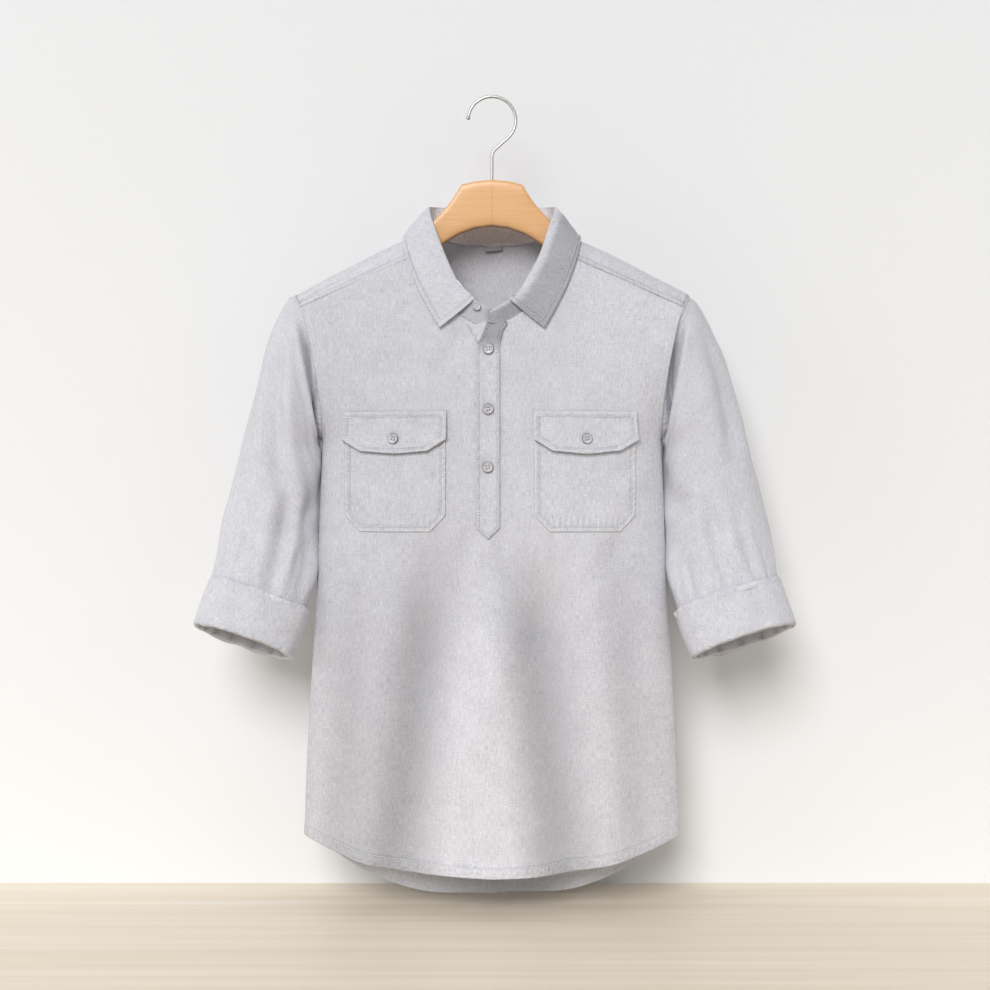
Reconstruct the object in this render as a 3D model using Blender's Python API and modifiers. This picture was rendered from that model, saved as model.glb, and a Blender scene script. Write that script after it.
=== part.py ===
"""Short kurta in grey cloth, hung on a wooden hanger with a steel hook.

Metres, +Z up. The origin is the underside of the hook's crest, where the hanger is held. The front of
the garment faces -Y and X runs across the shoulders. Left and right are the wearer's, so left is +X.
"""

from collections import namedtuple
from math import cos, pi, radians, sin

import bmesh
import bpy
import numpy as np
from mathutils import Vector

FRONT, BACK = -1, 1
SLOPE_STEP = 1e-4

# Cloth
CLOTH = 0.0014
SEAM_GAP = 0.0003
COLLAR_CLOTH = 0.0018
STAND_GAP = 0.0006
PATCH_CLOTH = 0.0012
POCKET_LIFT = 0.0008

# Shoulder line, the crest that the yoke runs over
SHOULDER_X = 0.1003
SHOULDER_Z = -0.1637
SHOULDER_SLOPE = 0.4985
TIP_X = 0.2022
TIP_SLOPE = 0.55
NECK_ROUNDING = 0.020
NECK_DIP = 0.0004
ARCH_RADIUS = 0.012
SPREAD_AT_NECK = 0.030
SPREAD_AT_SHOULDER = 0.050

# Yoke seams
YOKE_FRONT_X = 0.0958
YOKE_FRONT_Z = -0.1903
YOKE_FRONT_SLOPE = 0.436
YOKE_BACK_Z = -0.2700
YOKE_NECK_X = 0.0860
FRONT_TOP_X = 0.2190
FRONT_TOP_Z = -0.2432

# Body
HEM_CORNER_Z = -0.8476
FRONT_HEM_Z = -0.8884
BACK_HEM_Z = -0.9280
UNDERARM_Z = -0.3945
ARMHOLE_OPENING = 0.50
ARMHOLE_START = 0.012
ARMHOLE_OPENING_MOST = 0.050
SECTION_POWER = 2.4
FOLD_EDGE_POWER = 6

# Front details, whose own centre line lies a little to the wearer's right
FRONT_CENTRE = -0.0020
PLACKET_CENTRE = -0.0041
PLACKET_TIP_Z = -0.5078
SLIT_WIDTH = 0.0020
SLIT_DEPTH = 0.0600
SLIT_END_Z = -0.4850
SLIT_ABOVE = 0.0200
POINT_START = 0.0060
POCKET_CENTRE = 0.1070
POCKET_HALF = 0.0575
POCKET_TOP_Z = -0.3712
POCKET_BOTTOM_Z = -0.4994
POCKET_CUT_WIDTH = 0.0175
POCKET_CUT_HEIGHT = 0.0185
FLAP_HALF = 0.0585
FLAP_TOP_Z = -0.3641
FLAP_BOTTOM_Z = -0.4085
FLAP_POINT = 0.0035
FLAP_CUT_WIDTH = 0.0205
FLAP_CUT_HEIGHT = 0.0130
FLAP_LIFT = 0.0014
FLAP_ROWS = (0.0, 0.12, 0.40, 0.70, 1.0)
IN_FRONT = (0.0, -1.0, -0.4)

# Neck tab, folded flat against the inside of the back neck
TAB_CENTRE = (0.0018, -0.1683)
TAB_SIZE = (0.0205, 0.0012, 0.0052)
TAB_TILT = 5.0
TAB_BEHIND = 0.0052
TAB_ROUNDING = 0.00036

# Buttons
BUTTON_RADIUS = 0.0062
STAND_BUTTON_RADIUS = 0.0044
BUTTON_THICK = 0.0024
BUTTON_SIDES = 12
PLACKET_BUTTON_HEIGHTS = (-0.2953, -0.3620, -0.4267)
FLAP_BUTTON_Z = -0.3948
STAND_BUTTON = (-0.0168, -0.0690, -0.2482)

# Turned-up cuffs
CUFF_WALL = 0.0022
CUFF_GROOVE = 0.0024
CUFF_INNER_TOP = 0.20
CUFF_GROOVE_END = 0.92
CUFF_FOLD_START = 0.965
CUFF_LENGTH = 0.0560

# Hanger
HOOK_RADIUS = 0.0275
WIRE_RADIUS = 0.0019
HOOK_TIP_AT = 172.0
HOOK_LEAVES_AT = -48.0
STEM_BEND_TOP = (0.0040, -0.0588)
STEM_BEND_Z = -0.0625
STEM_TOP_Z = -0.0690
SEAT_GAP = 0.0004
HEAD_SECTION_POWER = 4.0
ARM_SECTION_POWER = 2.4
ARM_SECTION_POINTS = 16

# Grids
BACK_HALF_COLUMNS = 9
SIDE_CROWDING = 0.75
ARMHOLE_ROWS = 8
LOWER_ROWS = 10
SHOULDER_COLUMNS = 6
NECK_COLUMNS = 12
YOKE_ROWS = 14
ARCH_DENSITY = 5.0
COLLAR_COLUMNS = 19
UNDER_PLACKET_COLUMNS = 4
TOP_PLACKET_COLUMNS = 5
STRIP_STEP = 0.025
POCKET_ROWS = 8
PATCH_MIDDLE_COLUMNS = 4
PATCH_CORNER_COLUMNS = 2
BEND_POINTS = 5
HOOK_POINTS = 23
EDGE_ROUNDS = 8

Edge = namedtuple("Edge", "z half_width")
BODY_EDGE = (
    Edge(-0.8476, 0.2165),
    Edge(-0.7640, 0.2135),
    Edge(-0.6950, 0.2100),
    Edge(-0.5790, 0.2030),
    Edge(-0.5100, 0.2000),
    Edge(-0.4410, 0.1975),
    Edge(-0.3945, 0.1955),
    Edge(-0.3540, 0.1960),
    Edge(-0.3115, 0.2015),
    Edge(-0.2790, 0.2080),
    Edge(-0.2432, 0.2190),
    Edge(-0.2290, 0.2262),
)

Depth = namedtuple("Depth", "z front back")
BODY_DEPTH = (
    Depth(-0.93, 0.055, 0.042),
    Depth(-0.75, 0.058, 0.046),
    Depth(-0.60, 0.062, 0.050),
    Depth(-0.45, 0.067, 0.054),
    Depth(-0.33, 0.070, 0.057),
    Depth(-0.25, 0.068, 0.055),
    Depth(-0.15, 0.062, 0.052),
)

Hem = namedtuple("Hem", "across rise")
HEM_CURVE = (
    Hem(0.00, 0.000),
    Hem(0.40, 0.095),
    Hem(0.70, 0.400),
    Hem(0.81, 0.605),
    Hem(0.93, 0.865),
    Hem(1.00, 1.000),
)

Fold = namedtuple("Fold", "side x_start x_hem z_start z_full width depth")
FOLDS = (
    Fold(FRONT, -0.058, -0.108, -0.470, -0.640, 0.030, 0.0070),
    Fold(FRONT, 0.028, 0.078, -0.480, -0.640, 0.030, 0.0075),
    Fold(FRONT, -0.012, -0.014, -0.500, -0.700, 0.034, -0.0045),
    Fold(FRONT, -0.150, -0.172, -0.470, -0.700, 0.020, 0.0035),
    Fold(FRONT, 0.140, 0.166, -0.440, -0.660, 0.024, 0.0045),
    Fold(BACK, -0.062, -0.096, -0.280, -0.480, 0.028, 0.0070),
    Fold(BACK, 0.054, 0.088, -0.280, -0.520, 0.030, 0.0065),
    Fold(BACK, 0.002, 0.010, -0.400, -0.640, 0.034, -0.0045),
    Fold(BACK, -0.146, -0.165, -0.420, -0.660, 0.022, 0.0040),
    Fold(BACK, 0.150, 0.160, -0.460, -0.700, 0.022, 0.0040),
)

# Half of the neck, from the centre back to the front end. Along is the distance from the crest.
Neck = namedtuple("Neck", "x along fold_x fold_y fold_z leaf_x leaf_along lift")
NECK = (
    Neck(0.0000, 0.0501, 0.0000, 0.0500, -0.1210, 0.0000, 0.0621, 0.0030),
    Neck(0.0320, 0.0394, 0.0340, 0.0470, -0.1212, 0.0420, 0.0499, 0.0030),
    Neck(0.0620, 0.0207, 0.0600, 0.0350, -0.1220, 0.0800, 0.0300, 0.0030),
    Neck(0.0770, 0.0115, 0.0690, 0.0240, -0.1232, 0.0945, 0.0190, 0.0030),
    Neck(0.0836, 0.0000, 0.0727, 0.0120, -0.1253, 0.1010, 0.0060, 0.0030),
    Neck(0.0858, -0.0180, 0.0718, -0.0020, -0.1345, 0.1003, -0.0110, 0.0031),
    Neck(0.0860, -0.0364, 0.0684, -0.0160, -0.1457, 0.0962, -0.0331, 0.0033),
    Neck(0.0760, -0.0669, 0.0526, -0.0410, -0.1900, 0.0850, -0.0706, 0.0038),
    Neck(0.0480, -0.1162, 0.0343, -0.0590, -0.2245, 0.0720, -0.1038, 0.0046),
    Neck(0.0180, -0.1477, 0.0196, -0.0690, -0.2405, 0.0580, -0.1352, 0.0055),
)
YOKE_CORNER = 6
YOKE_FEET = (0.0, 0.012, 0.026, 0.042, 0.062, 0.083, 0.100)
COLLAR_RISE = 0.0014
COLLAR_BULGE = ((0, 0.0006), (0.12, 0.0018), (0.35, 0.0024), (0.7, 0.0016), (1, 0.0))
COLLAR_CENTRE = (0.0, -0.010, -0.190)
IN_NECK = (0.0, -0.010, -0.140)
ABOVE = (0.0, 0.0, 0.5)

StandEnd = namedtuple("StandEnd", "x top_z bottom_z y")
STAND_UNDER_END = StandEnd(0.0010, -0.2512, -0.2662, -0.0672)
STAND_TOP_END = StandEnd(-0.0022, -0.2535, -0.2662, -0.0722)

Strip = namedtuple("Strip", "z left right")
TOP_PLACKET = (
    Strip(-0.2676, -0.0061, 0.0173),
    Strip(-0.2745, -0.0087, 0.0127),
    Strip(-0.2870, -0.0142, 0.0098),
    Strip(-0.2952, -0.0170, 0.0089),
    Strip(-0.3600, -0.0170, 0.0089),
    Strip(-0.4280, -0.0170, 0.0089),
    Strip(-0.4948, -0.0170, 0.0089),
)
UNDER_PLACKET = (
    Strip(-0.2676, -0.0290, -0.0010),
    Strip(-0.2790, -0.0222, 0.0035),
    Strip(-0.2905, -0.0156, 0.0075),
    Strip(-0.3550, -0.0156, 0.0075),
    Strip(-0.4250, -0.0156, 0.0075),
    Strip(-0.4920, -0.0156, 0.0075),
)

# Sway is how much farther out the left sleeve hangs than the right one.
Ring = namedtuple("Ring", "outer_x outer_z inner_x inner_z y depth tilt sway")
SLEEVE_RINGS = (
    Ring(0.2362, -0.2365, 0.1985, -0.4010, 0.001, 0.0370, 0, 0.000),
    Ring(0.2482, -0.2584, 0.1982, -0.4100, 0.004, 0.0420, 1, 0.001),
    Ring(0.2616, -0.2920, 0.1979, -0.4220, 0.007, 0.0450, 3, 0.002),
    Ring(0.2726, -0.3288, 0.1980, -0.4380, 0.010, 0.0460, 5, 0.003),
    Ring(0.2829, -0.3689, 0.1985, -0.4570, 0.011, 0.0450, 7, 0.005),
    Ring(0.2924, -0.4093, 0.1990, -0.4780, 0.009, 0.0430, 9, 0.006),
    Ring(0.3017, -0.4499, 0.2004, -0.5010, 0.004, 0.0410, 11, 0.008),
    Ring(0.3095, -0.4884, 0.2013, -0.5270, -0.004, 0.0380, 14, 0.008),
    Ring(0.3146, -0.5207, 0.2028, -0.5537, -0.013, 0.0350, 16, 0.006),
)
CUFF_TOP = Ring(0.3221, -0.5538, 0.2072, -0.5925, -0.0240, 0.0375, 17, 0.005)
CUFF_BOTTOM = Ring(0.3384, -0.6056, 0.2252, -0.6433, -0.0400, 0.0385, 18, 0.005)

# The cuff's section, from its outer top edge round its fold, up its inner layer and back down the groove.
# Down is the share of its height and inward the distance in from its outer face.
Turn = namedtuple("Turn", "down inward")
CUFF_LAYER = CUFF_WALL + CUFF_GROOVE
CUFF_LINING = CUFF_LAYER + CLOTH
CUFF_SECTION = (
    Turn(0.0, 0.0),
    Turn(0.5, 0.0),
    Turn(CUFF_FOLD_START, 0.0),
    Turn(1.0, CUFF_LINING / 2),
    Turn(CUFF_FOLD_START, CUFF_LINING),
    Turn(0.6, CUFF_LINING),
    Turn(CUFF_INNER_TOP, CUFF_LINING),
    Turn(CUFF_INNER_TOP, CUFF_LAYER),
    Turn(0.6, CUFF_LAYER),
    Turn(CUFF_GROOVE_END, CUFF_LAYER),
    Turn(CUFF_GROOVE_END, CUFF_WALL),
    Turn(0.5, CUFF_WALL),
    Turn(0.0, CUFF_WALL),
)

Head = namedtuple("Head", "x top bottom half_thick")
HANGER_HEAD = (
    Head(0.0000, -0.0950, -0.1479, 0.0085),
    Head(0.0190, -0.0965, -0.1502, 0.0085),
    Head(0.0350, -0.1004, -0.1558, 0.0085),
    Head(0.0400, -0.1085, -0.1583, 0.0085),
    Head(0.0480, -0.1210, -0.1629, 0.0085),
    Head(0.0580, -0.1325, -0.1698, 0.0086),
    Head(0.0700, -0.1447, -0.1782, 0.0087),
    Head(0.0790, -0.1585, -0.1850, 0.0088),
)
Arm = namedtuple("Arm", "x height half_thick")
HANGER_ARM = (
    Arm(0.0920, 0.0300, 0.0088),
    Arm(0.1150, 0.0295, 0.0088),
    Arm(0.1550, 0.0275, 0.0088),
    Arm(0.1950, 0.0220, 0.0086),
    Arm(0.2080, 0.0170, 0.0076),
)
HANGER_END = Head(0.2130, -0.2300, -0.2370, 0.0045)

Finish = namedtuple("Finish", "colour roughness metallic")
FINISHES = {
    "cloth": Finish((0.60, 0.59, 0.62), 0.92, 0.0),
    "button": Finish((0.52, 0.51, 0.54), 0.35, 0.0),
    "wood": Finish((0.78, 0.42, 0.17), 0.38, 0.0),
    "steel": Finish((0.55, 0.55, 0.54), 0.25, 1.0),
}


def curve_through(xs, ys, at):
    """A smooth curve through points, read at one or more places."""
    slopes = np.gradient(ys, xs)
    at = np.clip(at, xs[0], xs[-1])
    cell = np.clip(np.searchsorted(xs, at, side="right") - 1, 0, len(xs) - 2)
    width = xs[cell + 1] - xs[cell]
    t = (at - xs[cell]) / width
    start = (2 * t**3 - 3 * t**2 + 1) * ys[cell] + (t**3 - 2 * t**2 + t) * width * slopes[cell]
    end = (3 * t**2 - 2 * t**3) * ys[cell + 1] + (t**3 - t**2) * width * slopes[cell + 1]
    return start + end


def column(table, name):
    return np.array([getattr(row, name) for row in table], dtype=float)


def by_height(table, name, z):
    """One column of a table whose rows are given by height."""
    heights = column(table, "z")
    order = np.argsort(heights)
    return curve_through(heights[order], column(table, name)[order], z)


def by_row(table, name, place):
    """One column of a table, read between its rows."""
    return curve_through(np.arange(len(table), dtype=float), column(table, name), place)


def ease(t):
    t = np.clip(t, 0.0, 1.0)
    return t * t * (3 - 2 * t)


def half_width(z):
    return by_height(BODY_EDGE, "half_width", z)


def shoulder_line(x):
    """Height of the crest that the yoke runs over."""
    rounded = np.sqrt(np.square(x) + NECK_ROUNDING**2)
    start = np.sqrt(SHOULDER_X**2 + NECK_ROUNDING**2)
    past_tip = np.maximum(np.abs(x) - TIP_X, 0.0)
    return SHOULDER_Z - SHOULDER_SLOPE * (rounded - start) - (TIP_SLOPE - SHOULDER_SLOPE) * past_tip


def folds(x, z, side):
    """How far the main folds take the cloth inwards."""
    total = np.zeros(np.broadcast(x, z).shape)
    for fold in (row for row in FOLDS if row.side == side):
        down = (fold.z_start - z) / (fold.z_start - HEM_CORNER_Z)
        centre = fold.x_start + (fold.x_hem - fold.x_start) * down
        grown = ease((fold.z_start - z) / (fold.z_start - fold.z_full))
        total = total + fold.depth * grown * np.exp(-(((x - centre) / fold.width) ** 2))
    return total * (1 - np.clip(np.abs(x) / half_width(z), 0, 1) ** FOLD_EDGE_POWER)


def body_depth(x, z, side):
    """Depth of the hanging body, before the shoulder rounds it off."""
    most = by_height(BODY_DEPTH, "front" if side == FRONT else "back", z)
    above = np.maximum(z - UNDERARM_Z, 0)
    opening = np.minimum(ARMHOLE_OPENING * above**2 / (above + ARMHOLE_START), ARMHOLE_OPENING_MOST)
    share = np.clip(np.abs(x) / (half_width(z) + opening), 0, 1)
    return most * np.sqrt(1 - share**SECTION_POWER)


def body_reach(x, z, side):
    """How far the outer face of the front or the back stands from the plane of the side seams."""
    below = np.maximum(shoulder_line(x) - z, 0.0)
    arch = ARCH_RADIUS * np.sqrt(1 - (1 - np.minimum(below / ARCH_RADIUS, 1)) ** 2)
    full = body_depth(x, z, side)
    spread = SPREAD_AT_NECK + (SPREAD_AT_SHOULDER - SPREAD_AT_NECK) * ease(np.abs(x) / SHOULDER_X)
    gained = np.maximum(full - ARCH_RADIUS, 0) * (1 - np.exp(-below / spread))
    reach = arch * np.minimum(1, full / ARCH_RADIUS) + gained
    return np.maximum(reach - folds(x, z, side), 0.0)


def body(x, z, side):
    """Outer face of the front or the back, half a seam's gap from the other."""
    y = side * (body_reach(x, z, side) + SEAM_GAP / 2)
    return np.stack(np.broadcast_arrays(x, y, z), axis=-1)


def over_shoulder(x, along):
    """Outer face at a distance along the cloth from the crest, negative down the front."""
    turn = np.minimum(np.abs(along) / ARCH_RADIUS, pi / 2)
    straight = np.maximum(np.abs(along) - ARCH_RADIUS * pi / 2, 0)
    z = shoulder_line(x) - ARCH_RADIUS * (1 - np.cos(turn)) - straight
    y = np.where(along < 0, -body_reach(x, z, FRONT), body_reach(x, z, BACK))
    return np.stack(np.broadcast_arrays(x, y, z), axis=-1)


def along_for(x, z):
    """Distance along the cloth from the crest to a height below it."""
    below = np.maximum(shoulder_line(x) - z, 0.0)
    turn = np.arccos(np.clip(1 - below / ARCH_RADIUS, 0, 1))
    return ARCH_RADIUS * turn + np.maximum(below - ARCH_RADIUS, 0)


def yoke_seam(x):
    return YOKE_FRONT_Z - YOKE_FRONT_SLOPE * (np.abs(x) - YOKE_FRONT_X)


def unit(vectors):
    return vectors / np.linalg.norm(vectors, axis=-1, keepdims=True)


def normals(surface, s, t, outward):
    """Unit normals of a surface over two grids, turned to the side that outward names."""
    across = surface(np.minimum(s + SLOPE_STEP, 1), t) - surface(np.maximum(s - SLOPE_STEP, -1), t)
    down = surface(s, np.minimum(t + SLOPE_STEP, 1)) - surface(s, np.maximum(t - SLOPE_STEP, 0))
    return outward * unit(np.cross(across, down))


def on_front(x, z, lift):
    """Points a small distance in front of the front's outer face."""
    across = body(x + SLOPE_STEP, z, FRONT) - body(x - SLOPE_STEP, z, FRONT)
    up = body(x, z + SLOPE_STEP, FRONT) - body(x, z - SLOPE_STEP, FRONT)
    return body(x, z, FRONT) + unit(np.cross(across, up)) * np.asarray(lift)[..., None]


def material(kind):
    name = f"kurta_{kind}"
    if name in bpy.data.materials:
        return bpy.data.materials[name]
    finish = FINISHES[kind]
    made = bpy.data.materials.new(name)
    made.use_nodes = True
    shader = made.node_tree.nodes["Principled BSDF"]
    shader.inputs["Base Color"].default_value = (*finish.colour, 1)
    shader.inputs["Roughness"].default_value = finish.roughness
    shader.inputs["Metallic"].default_value = finish.metallic
    return made


def add_object(name, mesh, kind, collection):
    made = bpy.data.objects.new(name, mesh)
    mesh.materials.append(material(kind))
    mesh.shade_smooth()
    mesh.set_sharp_from_angle(angle=radians(40))
    collection.objects.link(made)
    return made


def mesh_of(bm, name):
    bmesh.ops.recalc_face_normals(bm, faces=bm.faces)
    mesh = bpy.data.meshes.new(name)
    bm.to_mesh(mesh)
    bm.free()
    return mesh


def grid_faces(bm, rows, wrap, flip=False):
    """Vertices and quads of one sheet, row by row."""
    verts = [[bm.verts.new(point) for point in row] for row in rows]
    count = len(verts[0])
    for upper, lower in zip(verts, verts[1:]):
        for j in range(count if wrap else count - 1):
            k = (j + 1) % count
            quad = (upper[j], upper[k], lower[k], lower[j])
            bm.faces.new(quad[::-1] if flip else quad)
    return verts


def bridge(bm, first, second, closed):
    """Quads between two edges of equal length."""
    for j in range(len(first) if closed else len(first) - 1):
        k = (j + 1) % len(first)
        bm.faces.new((first[k], first[j], second[j], second[k]))


def cloth_wall(name, outer, inner, collection, wrap=False):
    """A closed wall of cloth, lofted between its outer and inner sheets."""
    bm = bmesh.new()
    out = grid_faces(bm, outer, wrap)
    inn = grid_faces(bm, inner, wrap, flip=True)
    bridge(bm, out[0], inn[0], wrap)
    bridge(bm, inn[-1], out[-1], wrap)
    if not wrap:
        bridge(bm, [row[0] for row in inn], [row[0] for row in out], False)
        bridge(bm, [row[-1] for row in out], [row[-1] for row in inn], False)
    return add_object(name, mesh_of(bm, name), "cloth", collection)


def closed_loft(name, rings, kind, collection, capped):
    """A loft through closed rings, either capped at its ends or joined end to end."""
    bm = bmesh.new()
    verts = grid_faces(bm, rings, True)
    if capped:
        bm.faces.new(verts[0][::-1])
        bm.faces.new(verts[-1])
    else:
        bridge(bm, verts[0], verts[-1], True)
    return add_object(name, mesh_of(bm, name), kind, collection)


def thick_sheet(name, rows, thickness, towards, collection):
    """An open sheet given its thickness on the side of the point named by towards."""
    bm = bmesh.new()
    grid_faces(bm, rows, False)
    bm.faces.ensure_lookup_table()
    bm.normal_update()
    middle = bm.faces[len(bm.faces) // 2]
    facing = middle.normal.dot(Vector(towards) - middle.calc_center_median())
    mesh = bpy.data.meshes.new(name)
    bm.to_mesh(mesh)
    bm.free()
    made = add_object(name, mesh, "cloth", collection)
    solid = made.modifiers.new("Thickness", "SOLIDIFY")
    solid.thickness = thickness
    solid.offset = 1.0 if facing > 0 else -1.0
    return made


def neckline(x):
    """Height of the front neckline, from the yoke's corner to the centre front."""
    places = np.arange(len(NECK) - 1, YOKE_CORNER - 0.5, -0.5)
    ends = over_shoulder(by_row(NECK, "x", places), by_row(NECK, "along", places))
    xs = np.concatenate([[0.0], ends[:, 0]])
    zs = np.concatenate([ends[:1, 2] - NECK_DIP, ends[:, 2]])
    return curve_through(xs, zs, x)


def front_top(s):
    """Top edge of the front: the yoke seam, then the neckline."""
    x = np.abs(s) * FRONT_TOP_X
    edge = np.where(x >= YOKE_NECK_X - 1e-9, yoke_seam(x), neckline(x))
    return edge - SEAM_GAP / 2


def back_top(s):
    return YOKE_BACK_Z - SEAM_GAP / 2 + 0 * s


def panel(side, top_edge, bottom_z):
    """A panel over s, from side to side, and t, from its top to its hem."""

    def surface(s, t):
        top = top_edge(s)
        rise = curve_through(column(HEM_CURVE, "across"), column(HEM_CURVE, "rise"), np.abs(s))
        z = top + (bottom_z + (HEM_CORNER_Z - bottom_z) * rise - top) * t
        return body(s * half_width(np.minimum(z, FRONT_TOP_Z)), z, side)

    return surface


def panel_rows(top_z):
    """Shares of the way down a panel, closer together towards the underarm."""
    underarm = (top_z - UNDERARM_Z) / (top_z - HEM_CORNER_Z)
    upper = underarm * np.sin(np.linspace(0, pi / 2, ARMHOLE_ROWS + 1))
    lower = underarm + (1 - underarm) * np.linspace(0, 1, LOWER_ROWS + 1)[1:]
    return np.concatenate([upper, lower])


def spread_columns():
    """Columns from side to side, closer together towards the side seams."""
    share = np.arange(-BACK_HALF_COLUMNS, BACK_HALF_COLUMNS + 1) / BACK_HALF_COLUMNS
    return SIDE_CROWDING * np.sin(share * pi / 2) + (1 - SIDE_CROWDING) * share


def front_columns():
    """The front's columns, which meet the yoke's along the seam and the collar's along the neckline."""
    neck = by_row(NECK, "x", np.arange(YOKE_CORNER + 0.5, len(NECK) - 0.5, 0.5))
    seam = np.linspace(YOKE_NECK_X, FRONT_TOP_X, SHOULDER_COLUMNS + 1)
    half = np.concatenate([neck, seam]) / FRONT_TOP_X
    return np.unique(np.concatenate([-half, [0.0], half]))


def make_panel(name, side, surface, columns, rows, collection):
    s, t = np.meshgrid(columns, rows)
    outer = surface(s, t)
    inner = outer - CLOTH * normals(surface, s, t, side)
    return cloth_wall(name, outer, inner, collection)


def make_front(collection, cutters):
    surface = panel(FRONT, front_top, FRONT_HEM_Z)
    rows = panel_rows(float(front_top(np.array(1.0))))
    front = make_panel("front", FRONT, surface, front_columns(), rows, collection)
    cutter = make_slit_cutter(cutters)
    cut = front.modifiers.new("Neck slit", "BOOLEAN")
    cut.operation = "DIFFERENCE"
    cut.object = cutter


def make_slit_cutter(cutters):
    """The neck slit, which the two plackets cover."""
    top = float(neckline(0.0)) + SLIT_ABOVE
    bm = bmesh.new()
    bmesh.ops.create_cube(bm, size=1)
    bmesh.ops.scale(bm, vec=(SLIT_WIDTH, SLIT_DEPTH, top - SLIT_END_Z), verts=bm.verts)
    cutter = bpy.data.objects.new("neck_slit_cutter", mesh_of(bm, "neck_slit_cutter"))
    cutter.location = (PLACKET_CENTRE, -SLIT_DEPTH, (top + SLIT_END_Z) / 2)
    cutter.hide_render = True
    cutter.display_type = "WIRE"
    cutters.objects.link(cutter)
    return cutter


def make_back(collection):
    surface = panel(BACK, back_top, BACK_HEM_Z)
    rows = panel_rows(YOKE_BACK_Z)
    make_panel("back", BACK, surface, spread_columns(), rows, collection)


def armhole_edge(along):
    """X of the armhole's edge, on the yoke, at a distance from the crest."""
    x = np.full(np.shape(along), FRONT_TOP_X)
    for _ in range(EDGE_ROUNDS):
        x = half_width(over_shoulder(x, along)[..., 2])
    return x


def along_at(front, back, t):
    """Distances along the cloth from its front to its back end, closer together over the arch."""
    bend = ARCH_RADIUS * pi / 2
    first = front + ARCH_DENSITY * np.clip(front, -bend, bend)
    last = back + ARCH_DENSITY * np.clip(back, -bend, bend)
    spread = first + (last - first) * t
    inside = np.abs(spread) <= bend * (1 + ARCH_DENSITY)
    return np.where(inside, spread / (1 + ARCH_DENSITY), spread - np.sign(spread) * ARCH_DENSITY * bend)


def yoke_surface(s, t):
    """The yoke over s, from its right to its left armhole, and t, from front to back seam."""
    reach = np.abs(s) * (NECK_COLUMNS + SHOULDER_COLUMNS)
    on_neck = np.clip(reach / NECK_COLUMNS, 0, 1) * YOKE_CORNER
    out = np.clip((reach - NECK_COLUMNS) / SHOULDER_COLUMNS, 0, 1)
    top_x = by_row(NECK, "x", on_neck) + (FRONT_TOP_X - YOKE_NECK_X) * out
    foot_x = np.interp(on_neck, np.arange(YOKE_CORNER + 1), YOKE_FEET)
    foot_x = foot_x + (half_width(YOKE_BACK_Z) - YOKE_FEET[-1]) * out
    front = np.where(out > 0, -along_for(top_x, yoke_seam(top_x)), by_row(NECK, "along", on_neck))
    back = along_for(foot_x, YOKE_BACK_Z)
    along = along_at(front + SEAM_GAP, back - SEAM_GAP / 2, t)
    share = (along - front) / (back - front)
    straight_edge = FRONT_TOP_X + (half_width(YOKE_BACK_Z) - FRONT_TOP_X) * share
    x = top_x + (foot_x - top_x) * share + (armhole_edge(along) - straight_edge) * out**3
    return over_shoulder(np.sign(s) * x, along)


def make_yoke(collection):
    """One piece over both shoulders, with the back neck cut out of it."""
    count = NECK_COLUMNS + SHOULDER_COLUMNS
    s, t = np.meshgrid(np.arange(-count, count + 1) / count, np.linspace(0, 1, YOKE_ROWS))
    outer = yoke_surface(s, t)
    inner = outer - CLOTH * normals(yoke_surface, s, t, 1)
    cloth_wall("yoke", outer, inner, collection)


def armhole_points():
    """The left armhole, from the crest down the front and up the back, and each point's turn round it."""
    yoke_rows = np.linspace(0, 1, YOKE_ROWS)
    yoke = yoke_surface(np.ones(len(yoke_rows)), yoke_rows)
    crest = int(np.argmax(yoke[:, 2]))
    front_rows = panel_rows(float(front_top(np.array(1.0))))[1 : ARMHOLE_ROWS + 1]
    back_rows = panel_rows(YOKE_BACK_Z)[1:ARMHOLE_ROWS]
    front = panel(FRONT, front_top, FRONT_HEM_Z)(np.ones(len(front_rows)), front_rows)
    back = panel(BACK, back_top, BACK_HEM_Z)(np.ones(len(back_rows)), back_rows)
    front[-1, 1] = 0.0
    down = np.vstack([yoke[crest::-1], front])
    up = np.vstack([down[-1:], back[::-1], yoke[:crest:-1], down[:1]])
    down_turn, up_turn = pi * length_share(down), pi + pi * length_share(up)
    return np.vstack([down, up[1:-1]]), np.concatenate([down_turn, up_turn[1:-1]])


def length_share(points):
    """How far along a line each of its points lies, from 0 to 1."""
    steps = np.linalg.norm(np.diff(points, axis=0), axis=1)
    length = np.concatenate([[0], np.cumsum(steps)])
    return length / length[-1]


def ring_points(ring, turns, side):
    """A sleeve's ring, from its outer point round the front to its inner point and back."""
    outer_x = ring.outer_x + ring.sway * (side > 0)
    outer = np.array([outer_x, ring.y, ring.outer_z])
    inner = np.array([ring.inner_x, ring.y, ring.inner_z])
    out = (outer - inner) / 2
    forward = np.array([0, -cos(radians(ring.tilt)), sin(radians(ring.tilt))]) * ring.depth
    turns = turns[:, None]
    return (outer + inner) / 2 + out * np.cos(turns) + forward * np.sin(turns)


def inset(ring, distance):
    """The ring moved inwards in its own plane."""
    tangent = unit(np.roll(ring, -1, axis=0) - np.roll(ring, 1, axis=0))
    centre = ring.mean(axis=0)
    axis = np.cross(ring - centre, tangent).sum(axis=0)
    inward = unit(np.cross(axis / np.linalg.norm(axis), tangent))
    return ring + inward * distance


def between(first, second, share):
    return Ring(*(a + (b - a) * share for a, b in zip(first, second)))


def mirrored(points, side):
    return points * np.array([side, 1, 1])


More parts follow.
